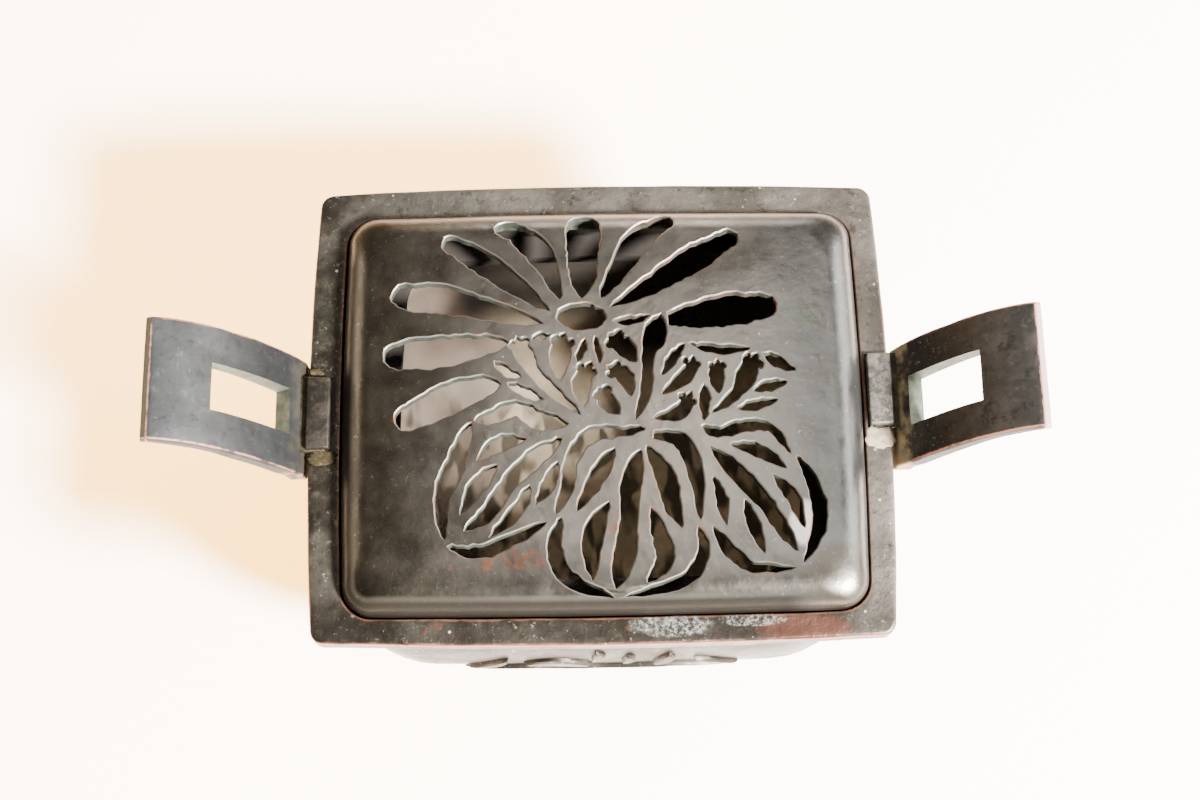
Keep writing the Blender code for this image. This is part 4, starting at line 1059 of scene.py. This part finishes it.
def leg_rings(body, side_x, side_y, steps=8):
    """A leg: a spread sole, a narrow ankle and a wide top under the belly."""
    levels = [(body.leg_foot * 0.94, 0.0), (body.leg_foot, 0.0006), (body.leg_foot, body.ankle_height * 0.35),
              (between(body.leg_foot, body.leg_ankle, 0.55), body.ankle_height * 0.65)]
    for step in range(steps + 1):
        share = step / steps
        levels.append((between(body.leg_ankle, body.leg_top, share ** 1.8),
                       between(body.ankle_height, body.leg_height, share)))
    levels.append((body.leg_top, body.leg_height + body.leg_sink))
    rings = []
    for width, height in levels:
        lean = body.leg_spread_x / 2 - (width - body.leg_foot) * 0.1
        reach = body.leg_spread_y / 2 - (width - body.leg_foot) * 0.1
        outline = bowed_outline(width, width, width * 0.32, corner_steps=5, side_steps=4)
        rings.append(raised(outline, height, side_x * lean, side_y * reach))
    return rings


def belly_surface(body, x, height):
    """Half the belly's depth at a place on its front or back."""
    if height < body.belly_height:
        climb = 1 - (height - body.leg_height) / (body.belly_height - body.leg_height)
        depth = between(body.base_depth, body.belly_depth, math.sqrt(1 - climb ** 2))
    else:
        climb = (height - body.belly_height) / (body.neck_height - body.belly_height)
        depth = between(body.belly_depth, body.rim_depth - 2 * body.neck_inset, 1 - math.sqrt(1 - climb ** 2))
    return depth / 2 - body.side_bow * (x / (body.belly_length / 2)) ** 2


def relief_rings(body, stroke, side, count=14):
    """One stem, leaf or bud of the carving, pillowed and with a groove along its middle."""
    rings = []
    for place, run, width in runs(stroke_samples(stroke, False, 6)):
        across = Vector((-run.y, run.x)) * max(width, 0.0003) / 2
        ring = []
        for step in range(count):
            angle = math.tau * step / count
            spot = place + across * math.cos(angle)
            lift = body.relief_rise * 1.15 * max(math.sin(angle), 0) ** 0.7
            groove = 1 - 0.3 * math.exp(-(math.cos(angle) / 0.3) ** 2)
            sink = 0.0012 * max(-math.sin(angle), 0)
            share = min(1.0, 0.35 + width / 0.002)
            depth = belly_surface(body, spot.x, spot.y) + lift * groove * share - sink
            ring.append((spot.x, side * depth, spot.y))
        rings.append(ring)
    return rings


def mark(piece, name, value):
    """Give every point of a piece one number that its finish reads."""
    layer = piece.data.attributes.new(name, "FLOAT", "POINT")
    layer.data.foreach_set("value", [value(vertex) for vertex in piece.data.vertices])


class BURNER_OT_vessel(bpy.types.Operator):
    """Make the vessel: belly, rim, ledge, four legs and the carved spray on the front and the back"""
    bl_idname = "burner.vessel"
    bl_label = "Vessel"

    def execute(self, context):
        body, lid = context.scene.burner_body, context.scene.burner_lid
        handle = context.scene.burner_handle
        right, left = context.scene.burner_right, context.scene.burner_left
        outside, inside = vessel_rings(body, lid)
        vessel = lofted("vessel", outside + inside)
        first = len(outside) * len(outside[0])
        mark(vessel, "inside", lambda vertex: 1.0 if vertex.index >= first else 0.0)
        mark(vessel, "carving", lambda vertex: 0.0)
        vessel.data.materials.append(vessel_finish(body, lid, right, left, context.scene.burner_colours))
        for side, plate in ((1, right), (-1, left)):
            inner = body.rim_length / 2 - handle.tab_length - handle.gap
            outer = body.rim_length / 2 + handle.thickness
            cut(vessel, oblong("notch", (side * (inner + outer) / 2, plate.tab_y, body.height),
                               (outer - inner, handle.tab_width + 2 * handle.gap, 2 * handle.notch_depth)))
        for side_x in (-1, 1):
            for side_y in (-1, 1):
                cut(vessel, lofted("leg", leg_rings(body, side_x, side_y)), "UNION")
        for side in (-1, 1):
            for stroke in RELIEF.values():
                carving = lofted("carving", relief_rings(body, stroke, side))
                mark(carving, "carving", lambda vertex: 1.0)
                cut(vessel, carving, "UNION")
        uneven(vessel, amount=0.0004, grain=0.014)
        finished(vessel, "body_bronze", "body")
        return {"FINISHED"}


def lid_ring(lid, inset, height):
    """The lid's outline, moved in by an inset, with corners that grow towards the crown."""
    size_x, size_y = lid.length - 2 * inset, lid.depth - 2 * inset
    corner = min(lid.corner + inset * 0.35, size_y * 0.4)
    return raised(bowed_outline(size_x, size_y, corner, lid.end_bow, lid.side_bow), height, lid.shift_x,
                  lid.shift_y)


def dome_rings(lid, inset, drop, shoulder_steps, crown_steps, flat_steps):
    """From the lid's edge up the rounded shoulder and over the nearly flat crown."""
    edge = lid.edge - drop
    rings = []
    for step in range(shoulder_steps + 1):
        share = step / shoulder_steps
        rings.append(lid_ring(lid, inset + (lid.shoulder_width - inset / 2) * rise(share),
                              edge + lid.shoulder_rise * swell(share)))
    start = inset / 2 + lid.shoulder_width
    for step in range(1, crown_steps + 1):
        share = step / crown_steps
        rings.append(lid_ring(lid, between(start, lid.crown_inset, share),
                              edge + lid.shoulder_rise + lid.crown_rise * (1 - (1 - share) ** 2)))
    middle = lid.depth / 2 - 0.0015
    for step in range(1, flat_steps + 1):
        rings.append(lid_ring(lid, between(lid.crown_inset, middle, step / flat_steps),
                              edge + lid.shoulder_rise + lid.crown_rise))
    return rings


def opening_cutter(name, lid, dome, outline, finishes):
    """A plug with one opening's outline, which widens where it leaves the dome."""
    shift = Vector((lid.shift_x, lid.shift_y))
    outline = [place + shift for place in outline]

    def waver(place):
        """How far the saw strayed: short waves on long ones."""
        fine = 0.00020 * math.sin(place.x * 2300 + 3 * math.sin(place.y * 900)) * math.sin(place.y * 2100)
        long = math.sin(place.x * 1000 + 2 * math.sin(place.y * 600)) * math.cos(place.y * 1150)
        return fine + 0.00022 * long

    def surface(place):
        """Height of the dome over a place."""
        hit, spot, _, _ = dome.ray_cast((place.x, place.y, lid.edge + 0.1), (0, 0, -1))
        if not hit:
            raise RuntimeError(f"the opening {name} runs off the lid")
        return spot.z

    outline = offset(outline, waver)
    wide = offset(outline, lambda place: lid.filed_edge * 1.15)
    rings = [raised(outline, lid.edge - 0.0005),
             [(place.x, place.y, surface(place) - lid.filed_edge) for place in outline],
             [(place.x, place.y, surface(place) + lid.filed_edge * 0.15) for place in wide],
             [(place.x, place.y, surface(place) + 0.003) for place in wide]]
    plug = lofted(name, rings)
    for finish in finishes:
        plug.data.materials.append(finish)
    count = len(outline)
    for face in plug.data.polygons:
        levels = {corner // count for corner in face.vertices}
        face.material_index = 1 if levels == {1, 2} else 0
    return plug


def bud_lobes(stroke):
    """Two round lobes at the outer end of a wide bud."""
    start, peak = stroke[0], stroke[1]
    if not LOBED_FROM <= peak[2] < LOBED_TO:
        return
    run = Vector((peak[0] - start[0], peak[1] - start[1]))
    across = Vector((-run.y, run.x)).normalized() * peak[2] * LOBE_SPREAD
    for side in (-1, 1):
        middle = Vector(start[:2]) + run * LOBE_PLACE + across * side
        yield oval_outline(middle, peak[2] * LOBE_SIZE, peak[2] * LOBE_SIZE, 20)


def opening_outlines():
    """Each opening of the lid, by name."""
    for name, stroke in PETALS.items():
        yield name, stroke_outline(stroke, round_start=True)
    for name, stroke in (SPRAYS | LEAVES).items():
        yield name, stroke_outline(stroke)
    for name, stroke in SPRAYS.items():
        for lobe in bud_lobes(stroke):
            yield name + " lobe", lobe
    yield "centre hole", oval_outline(CENTRE_HOLE, CENTRE_HOLE_LENGTH, CENTRE_HOLE_DEPTH)


class BURNER_OT_lid(bpy.types.Operator):
    """Make the domed lid and saw its petals, sprays and leaves through it"""
    bl_idname = "burner.lid"
    bl_label = "Lid"

    def execute(self, context):
        lid, colours = context.scene.burner_lid, context.scene.burner_colours
        inside = dome_rings(lid, lid.foot_wall, lid.plate, 6, 5, 2)[::-1]
        foot = [lid_ring(lid, lid.foot_wall, lid.bottom), lid_ring(lid, FOOT_ROUNDING, lid.bottom),
                lid_ring(lid, 0, lid.bottom + FOOT_ROUNDING),
                lid_ring(lid, 0, between(lid.bottom, lid.edge, 0.5))]
        cover = lofted("openwork_lid", inside + foot + dome_rings(lid, 0, 0, 14, 15, 4))
        cover.data.materials.append(lid_finish(lid, colours))
        uneven(cover, amount=0.0003, grain=0.016)
        finishes = (wall_finish("cut wall", colours.cut_wall, colours), filed_finish(colours))
        plugs = [opening_cutter(name, lid, cover, outline, finishes)
                 for name, outline in opening_outlines()]
        cut(cover, joined("openings", plugs), overlaps=True)
        finished(cover, "lid_bronze", "lid")
        return {"FINISHED"}


def inner_face(handle, out):
    """Height of the plate's inner face over the rim, and its slope, at a distance out from the rim."""
    share = out / handle.curve_reach
    height = handle.rise * (handle.steepness * share - (handle.steepness - 1) * share ** 2) - handle.start
    slope = handle.rise / handle.curve_reach * (handle.steepness - 2 * (handle.steepness - 1) * share)
    return height, slope


def through_plate(handle, out, depth):
    """The point a depth behind the inner face, square to it."""
    height, slope = inner_face(handle, out)
    size = math.hypot(1, slope)
    return Vector((out + depth * slope / size, height - depth / size))


def plate_pairs(handle, plate, steps=26, foot_steps=3):
    """Points on the inner and the outer face, from the foot over the tip's chamfer, seen from the side."""
    root = handle.gap + handle.edge / 2
    foot = (Vector((handle.gap, -handle.foot_drop)),
            Vector((handle.gap + handle.thickness, -handle.foot_drop)))
    start = (through_plate(handle, root, 0), through_plate(handle, root + handle.edge, handle.thickness))
    pairs = [tuple(a.lerp(b, step / foot_steps) for a, b in zip(foot, start)) for step in range(foot_steps)]
    for step in range(steps + 1):
        share = step / steps
        pairs.append((through_plate(handle, between(root, plate.reach, share), 0),
                      through_plate(handle, between(root + handle.edge, plate.reach, share),
                                    between(handle.thickness, handle.tip_thickness, share))))
    for share in (0.12, 1.0):
        out = plate.reach + share * handle.chamfer
        pairs.append((through_plate(handle, out, share * handle.chamfer_drop),
                      through_plate(handle, out, handle.tip_thickness)))
    return pairs


def plate_width(handle, plate, pair):
    """Width of the plate, which draws in a little where it leaves the rim."""
    out = min(max((pair[0].x + pair[1].x) / 2, 0), handle.root_length)
    return plate.width - 2 * handle.root_taper * (1 - out / handle.root_length)


def plate_ring(handle, plate, body, side, pair, inset, along):
    """A rounded oblong across the plate, moved a little along it and in from its edges."""
    inner, outer = pair[0] + along, pair[1] + along
    through = (outer - inner).normalized()
    middle = (inner + outer) / 2
    thick = (outer - inner).length - 2 * inset
    wide = plate_width(handle, plate, pair) - 2 * inset
    outline = bowed_outline(thick, wide, max(handle.edge - inset, 0.0001), corner_steps=4, side_steps=8)
    return [(side * (body.rim_length / 2 + middle.x + a * through.x), plate.middle_y + b,
             body.height + middle.y + a * through.y) for a, b in outline]


def plate_rings(handle, plate, body, side, cap_steps=3):
    """Rings along the whole plate, from its rounded foot to its rounded tip."""
    pairs = plate_pairs(handle, plate)
    rings = []
    for end, neighbour, order in ((0, 1, range(cap_steps, -1, -1)), (-1, -2, range(cap_steps + 1))):
        run = (sum(pairs[end], Vector((0, 0))) - sum(pairs[neighbour], Vector((0, 0)))).normalized()
        radius = handle.edge if end == 0 else handle.edge / 3
        rings += [plate_ring(handle, plate, body, side, pairs[end], radius * rise(step / cap_steps),
                             run * radius * (swell(step / cap_steps) - 1)) for step in order]
        if end == 0:
            rings += [plate_ring(handle, plate, body, side, pair, 0, Vector((0, 0))) for pair in pairs[1:-1]]
    return rings


def cut_window(piece, handle, plate, body, side, wall):
    """Cut the oblong window through a plate, square to the plate at the window's middle."""
    slope = inner_face(handle, plate.window_middle)[1]
    spot = through_plate(handle, plate.window_middle, handle.thickness / 2)
    middle = (side * (body.rim_length / 2 + spot.x), plate.middle_y, body.height + spot.y)
    size = (plate.window_length, plate.window_width, 4 * handle.thickness)
    window = oblong("window", middle, size, -side * math.atan(slope))
    window.data.materials.append(wall)
    cut(piece, window)


def add_tab(piece, name, handle, plate, body, side, colours):
    """Fuse on the tab that hooks over the rim, and the low dirty crevice between it and the plate."""
    rim_end = body.rim_length / 2
    inner = rim_end - handle.tab_length
    low = body.height - handle.notch_depth + handle.gap
    base = colours.tab_left if side < 0 else colours.tab_right
    for part, colour, start, end, width, lift, rounding in (
            ("crevice", colours.crevice, inner + CREVICE_INSET, rim_end + handle.thickness,
             handle.tab_width + CREVICE_SPARE, handle.crevice_rise, CREVICE_EDGE),
            ("tab", base, inner, rim_end + TAB_OVERLAP, handle.tab_width, handle.tab_rise, TAB_EDGE)):
        high = body.height + lift
        block = oblong(part, (side * (start + end) / 2, plate.tab_y, (low + high) / 2),
                       (end - start, width, high - low), rounding=rounding)
        block.data.materials.append(tab_finish(f"{name} {part}", colour))
        cut(piece, block, "UNION")


class BURNER_OT_handles(bpy.types.Operator):
    """Make the two plate handles, each with its window and the tab that hooks over the rim"""
    bl_idname = "burner.handles"
    bl_label = "Handles"

    def execute(self, context):
        body, handle = context.scene.burner_body, context.scene.burner_handle
        right, left = context.scene.burner_right, context.scene.burner_left
        colours = context.scene.burner_colours
        wall = wall_finish("window wall", colours.window_wall, colours)
        for name, side, plate in (("right", 1, right), ("left", -1, left)):
            piece = lofted(name + "_plate_handle", plate_rings(handle, plate, body, side))
            piece.data.materials.append(handle_finish(name, plate, body, side, colours))
            uneven(piece, amount=0.0004, grain=0.012)
            cut_window(piece, handle, plate, body, side, wall)
            add_tab(piece, name, handle, plate, body, side, colours)
            finished(piece, "handle_bronze", "handle_" + name)
        return {"FINISHED"}


def pad_rings(middle, size, height, count=48):
    """A thin smear with a wavering outline, highest in its middle."""
    seed = middle[0] * 900
    rings = []
    for share, lift in ((1.0, -0.0006), (1.0, -0.0001), (0.88, 0.00014), (0.6, 0.0002), (0.2, 0.00022)):
        ring = []
        for step in range(count):
            angle = math.tau * step / count
            waver = (1 + 0.10 * math.sin(2 * angle + seed) + 0.07 * math.sin(5 * angle + 1.7 * seed)
                     + 0.04 * math.sin(11 * angle + 2.3 * seed))
            x, y = math.cos(angle), math.sin(angle)
            blunt = (abs(x) ** 3 + abs(y) ** 3) ** (-1 / 3)
            ring.append((middle[0] + size[0] / 2 * share * waver * blunt * x,
                         middle[1] + size[1] / 2 * share * waver * blunt * y, height + lift))
        rings.append(ring)
    return rings


class BURNER_OT_filler(bpy.types.Operator):
    """Lay the old filler on the rim at the ends of the tabs"""
    bl_idname = "burner.filler"
    bl_label = "Filler"

    def execute(self, context):
        body, handle = context.scene.burner_body, context.scene.burner_handle
        colours = context.scene.burner_colours
        right, left = context.scene.burner_right, context.scene.burner_left
        for name, (side, end, inward, beyond, size) in FILLER.items():
            plate, colour = (right, colours.filler) if side > 0 else (left, colours.filler_left)
            middle = (side * (body.rim_length / 2 - inward),
                      plate.tab_y + end * (handle.tab_width / 2 + beyond))
            lump = lofted(name, pad_rings(middle, size, body.height))
            uneven(lump, amount=0.0002, grain=0.002)
            lump.data.materials.append(filler_finish(name, colour, colours))
            finished(lump, "body_bronze")
        return {"FINISHED"}


def area_light(name, place, size, power, colour):
    """A round soft lamp that shines on the burner."""
    deselect_all()
    bpy.ops.object.light_add(type="AREA", location=place)
    lamp = bpy.context.object
    lamp.name = name
    lamp.data.shape = "DISK"
    lamp.data.size = size
    lamp.data.energy = power
    lamp.data.color = colour
    lamp.rotation_euler = (Vector(LIT_PLACE) - Vector(place)).to_track_quat("-Z", "Y").to_euler()


class BURNER_OT_stage(bpy.types.Operator):
    """Set the pale floor, the soft lights and the camera"""
    bl_idname = "burner.stage"
    bl_label = "Stage"

    def execute(self, context):
        deselect_all()
        bpy.ops.mesh.primitive_plane_add(size=FLOOR_SIZE)
        floor = bpy.context.object
        floor.name = "floor"
        paper = Finish("pale floor")
        paper.shader.inputs["Emission Color"].default_value = FLOOR_GLOW
        paper.shader.inputs["Emission Strength"].default_value = FLOOR_GLOW_STRENGTH
        floor.data.materials.append(paper.done(FLOOR_COLOUR, 0.9))
        for name, (place, size, power, colour) in LAMPS.items():
            area_light(name, place, size, power, colour)
        world = bpy.data.worlds.new("soft room")
        world.use_nodes = True
        world.node_tree.nodes["Background"].inputs["Color"].default_value = ROOM_COLOUR
        world.node_tree.nodes["Background"].inputs["Strength"].default_value = ROOM_STRENGTH
        context.scene.world = world
        camera = bpy.data.objects.new("camera", bpy.data.cameras.new("camera"))
        context.scene.collection.objects.link(camera)
        camera.data.sensor_width = CAMERA_SENSOR
        camera.data.lens = CAMERA_LENS
        camera.data.clip_start = 0.01
        camera.matrix_world = (Matrix.Translation(CAMERA_PLACE)
                               @ Matrix.Rotation(math.radians(CAMERA_TURN), 4, "Z")
                               @ Matrix.Rotation(math.radians(CAMERA_TILT), 4, "X")
                               @ Matrix.Rotation(math.radians(CAMERA_ROLL), 4, "Z"))
        context.scene.camera = camera
        return {"FINISHED"}


class BURNER_PT_panel(bpy.types.Panel):
    """The burner's sizes and colours, and a button for each of its pieces"""
    bl_label = "Incense Burner"
    bl_idname = "BURNER_PT_panel"
    bl_space_type = "VIEW_3D"
    bl_region_type = "UI"
    bl_category = "Burner"

    def draw(self, context):
        for operator in OPERATORS:
            self.layout.operator(operator.bl_idname)
        for group in SETTINGS:
            values = getattr(context.scene, group)
            box = self.layout.box()
            for name in values.__annotations__:
                box.prop(values, name)


SETTINGS = {"burner_body": BurnerBodySizes, "burner_lid": BurnerLidSizes, "burner_handle": BurnerHandleSizes,
            "burner_right": BurnerRightPlate, "burner_left": BurnerLeftPlate, "burner_colours": BurnerColours}
OPERATORS = (BURNER_OT_vessel, BURNER_OT_lid, BURNER_OT_handles, BURNER_OT_filler, BURNER_OT_stage)


def register():
    """Register the classes and hang the settings on the scene."""
    for item in (*SETTINGS.values(), *OPERATORS, BURNER_PT_panel):
        bpy.utils.register_class(item)
    for name, group in SETTINGS.items():
        setattr(bpy.types.Scene, name, bpy.props.PointerProperty(type=group))


def unregister():
    """Take the settings and the classes away again."""
    for name in SETTINGS:
        delattr(bpy.types.Scene, name)
    for item in (BURNER_PT_panel, *reversed(OPERATORS), *reversed(SETTINGS.values())):
        bpy.utils.unregister_class(item)


def main():
    """Build the burner and its stage."""
    register()
    bpy.ops.burner.vessel()
    bpy.ops.burner.lid()
    bpy.ops.burner.handles()
    bpy.ops.burner.filler()
    bpy.ops.burner.stage()


if __name__ == "__main__":
    main()
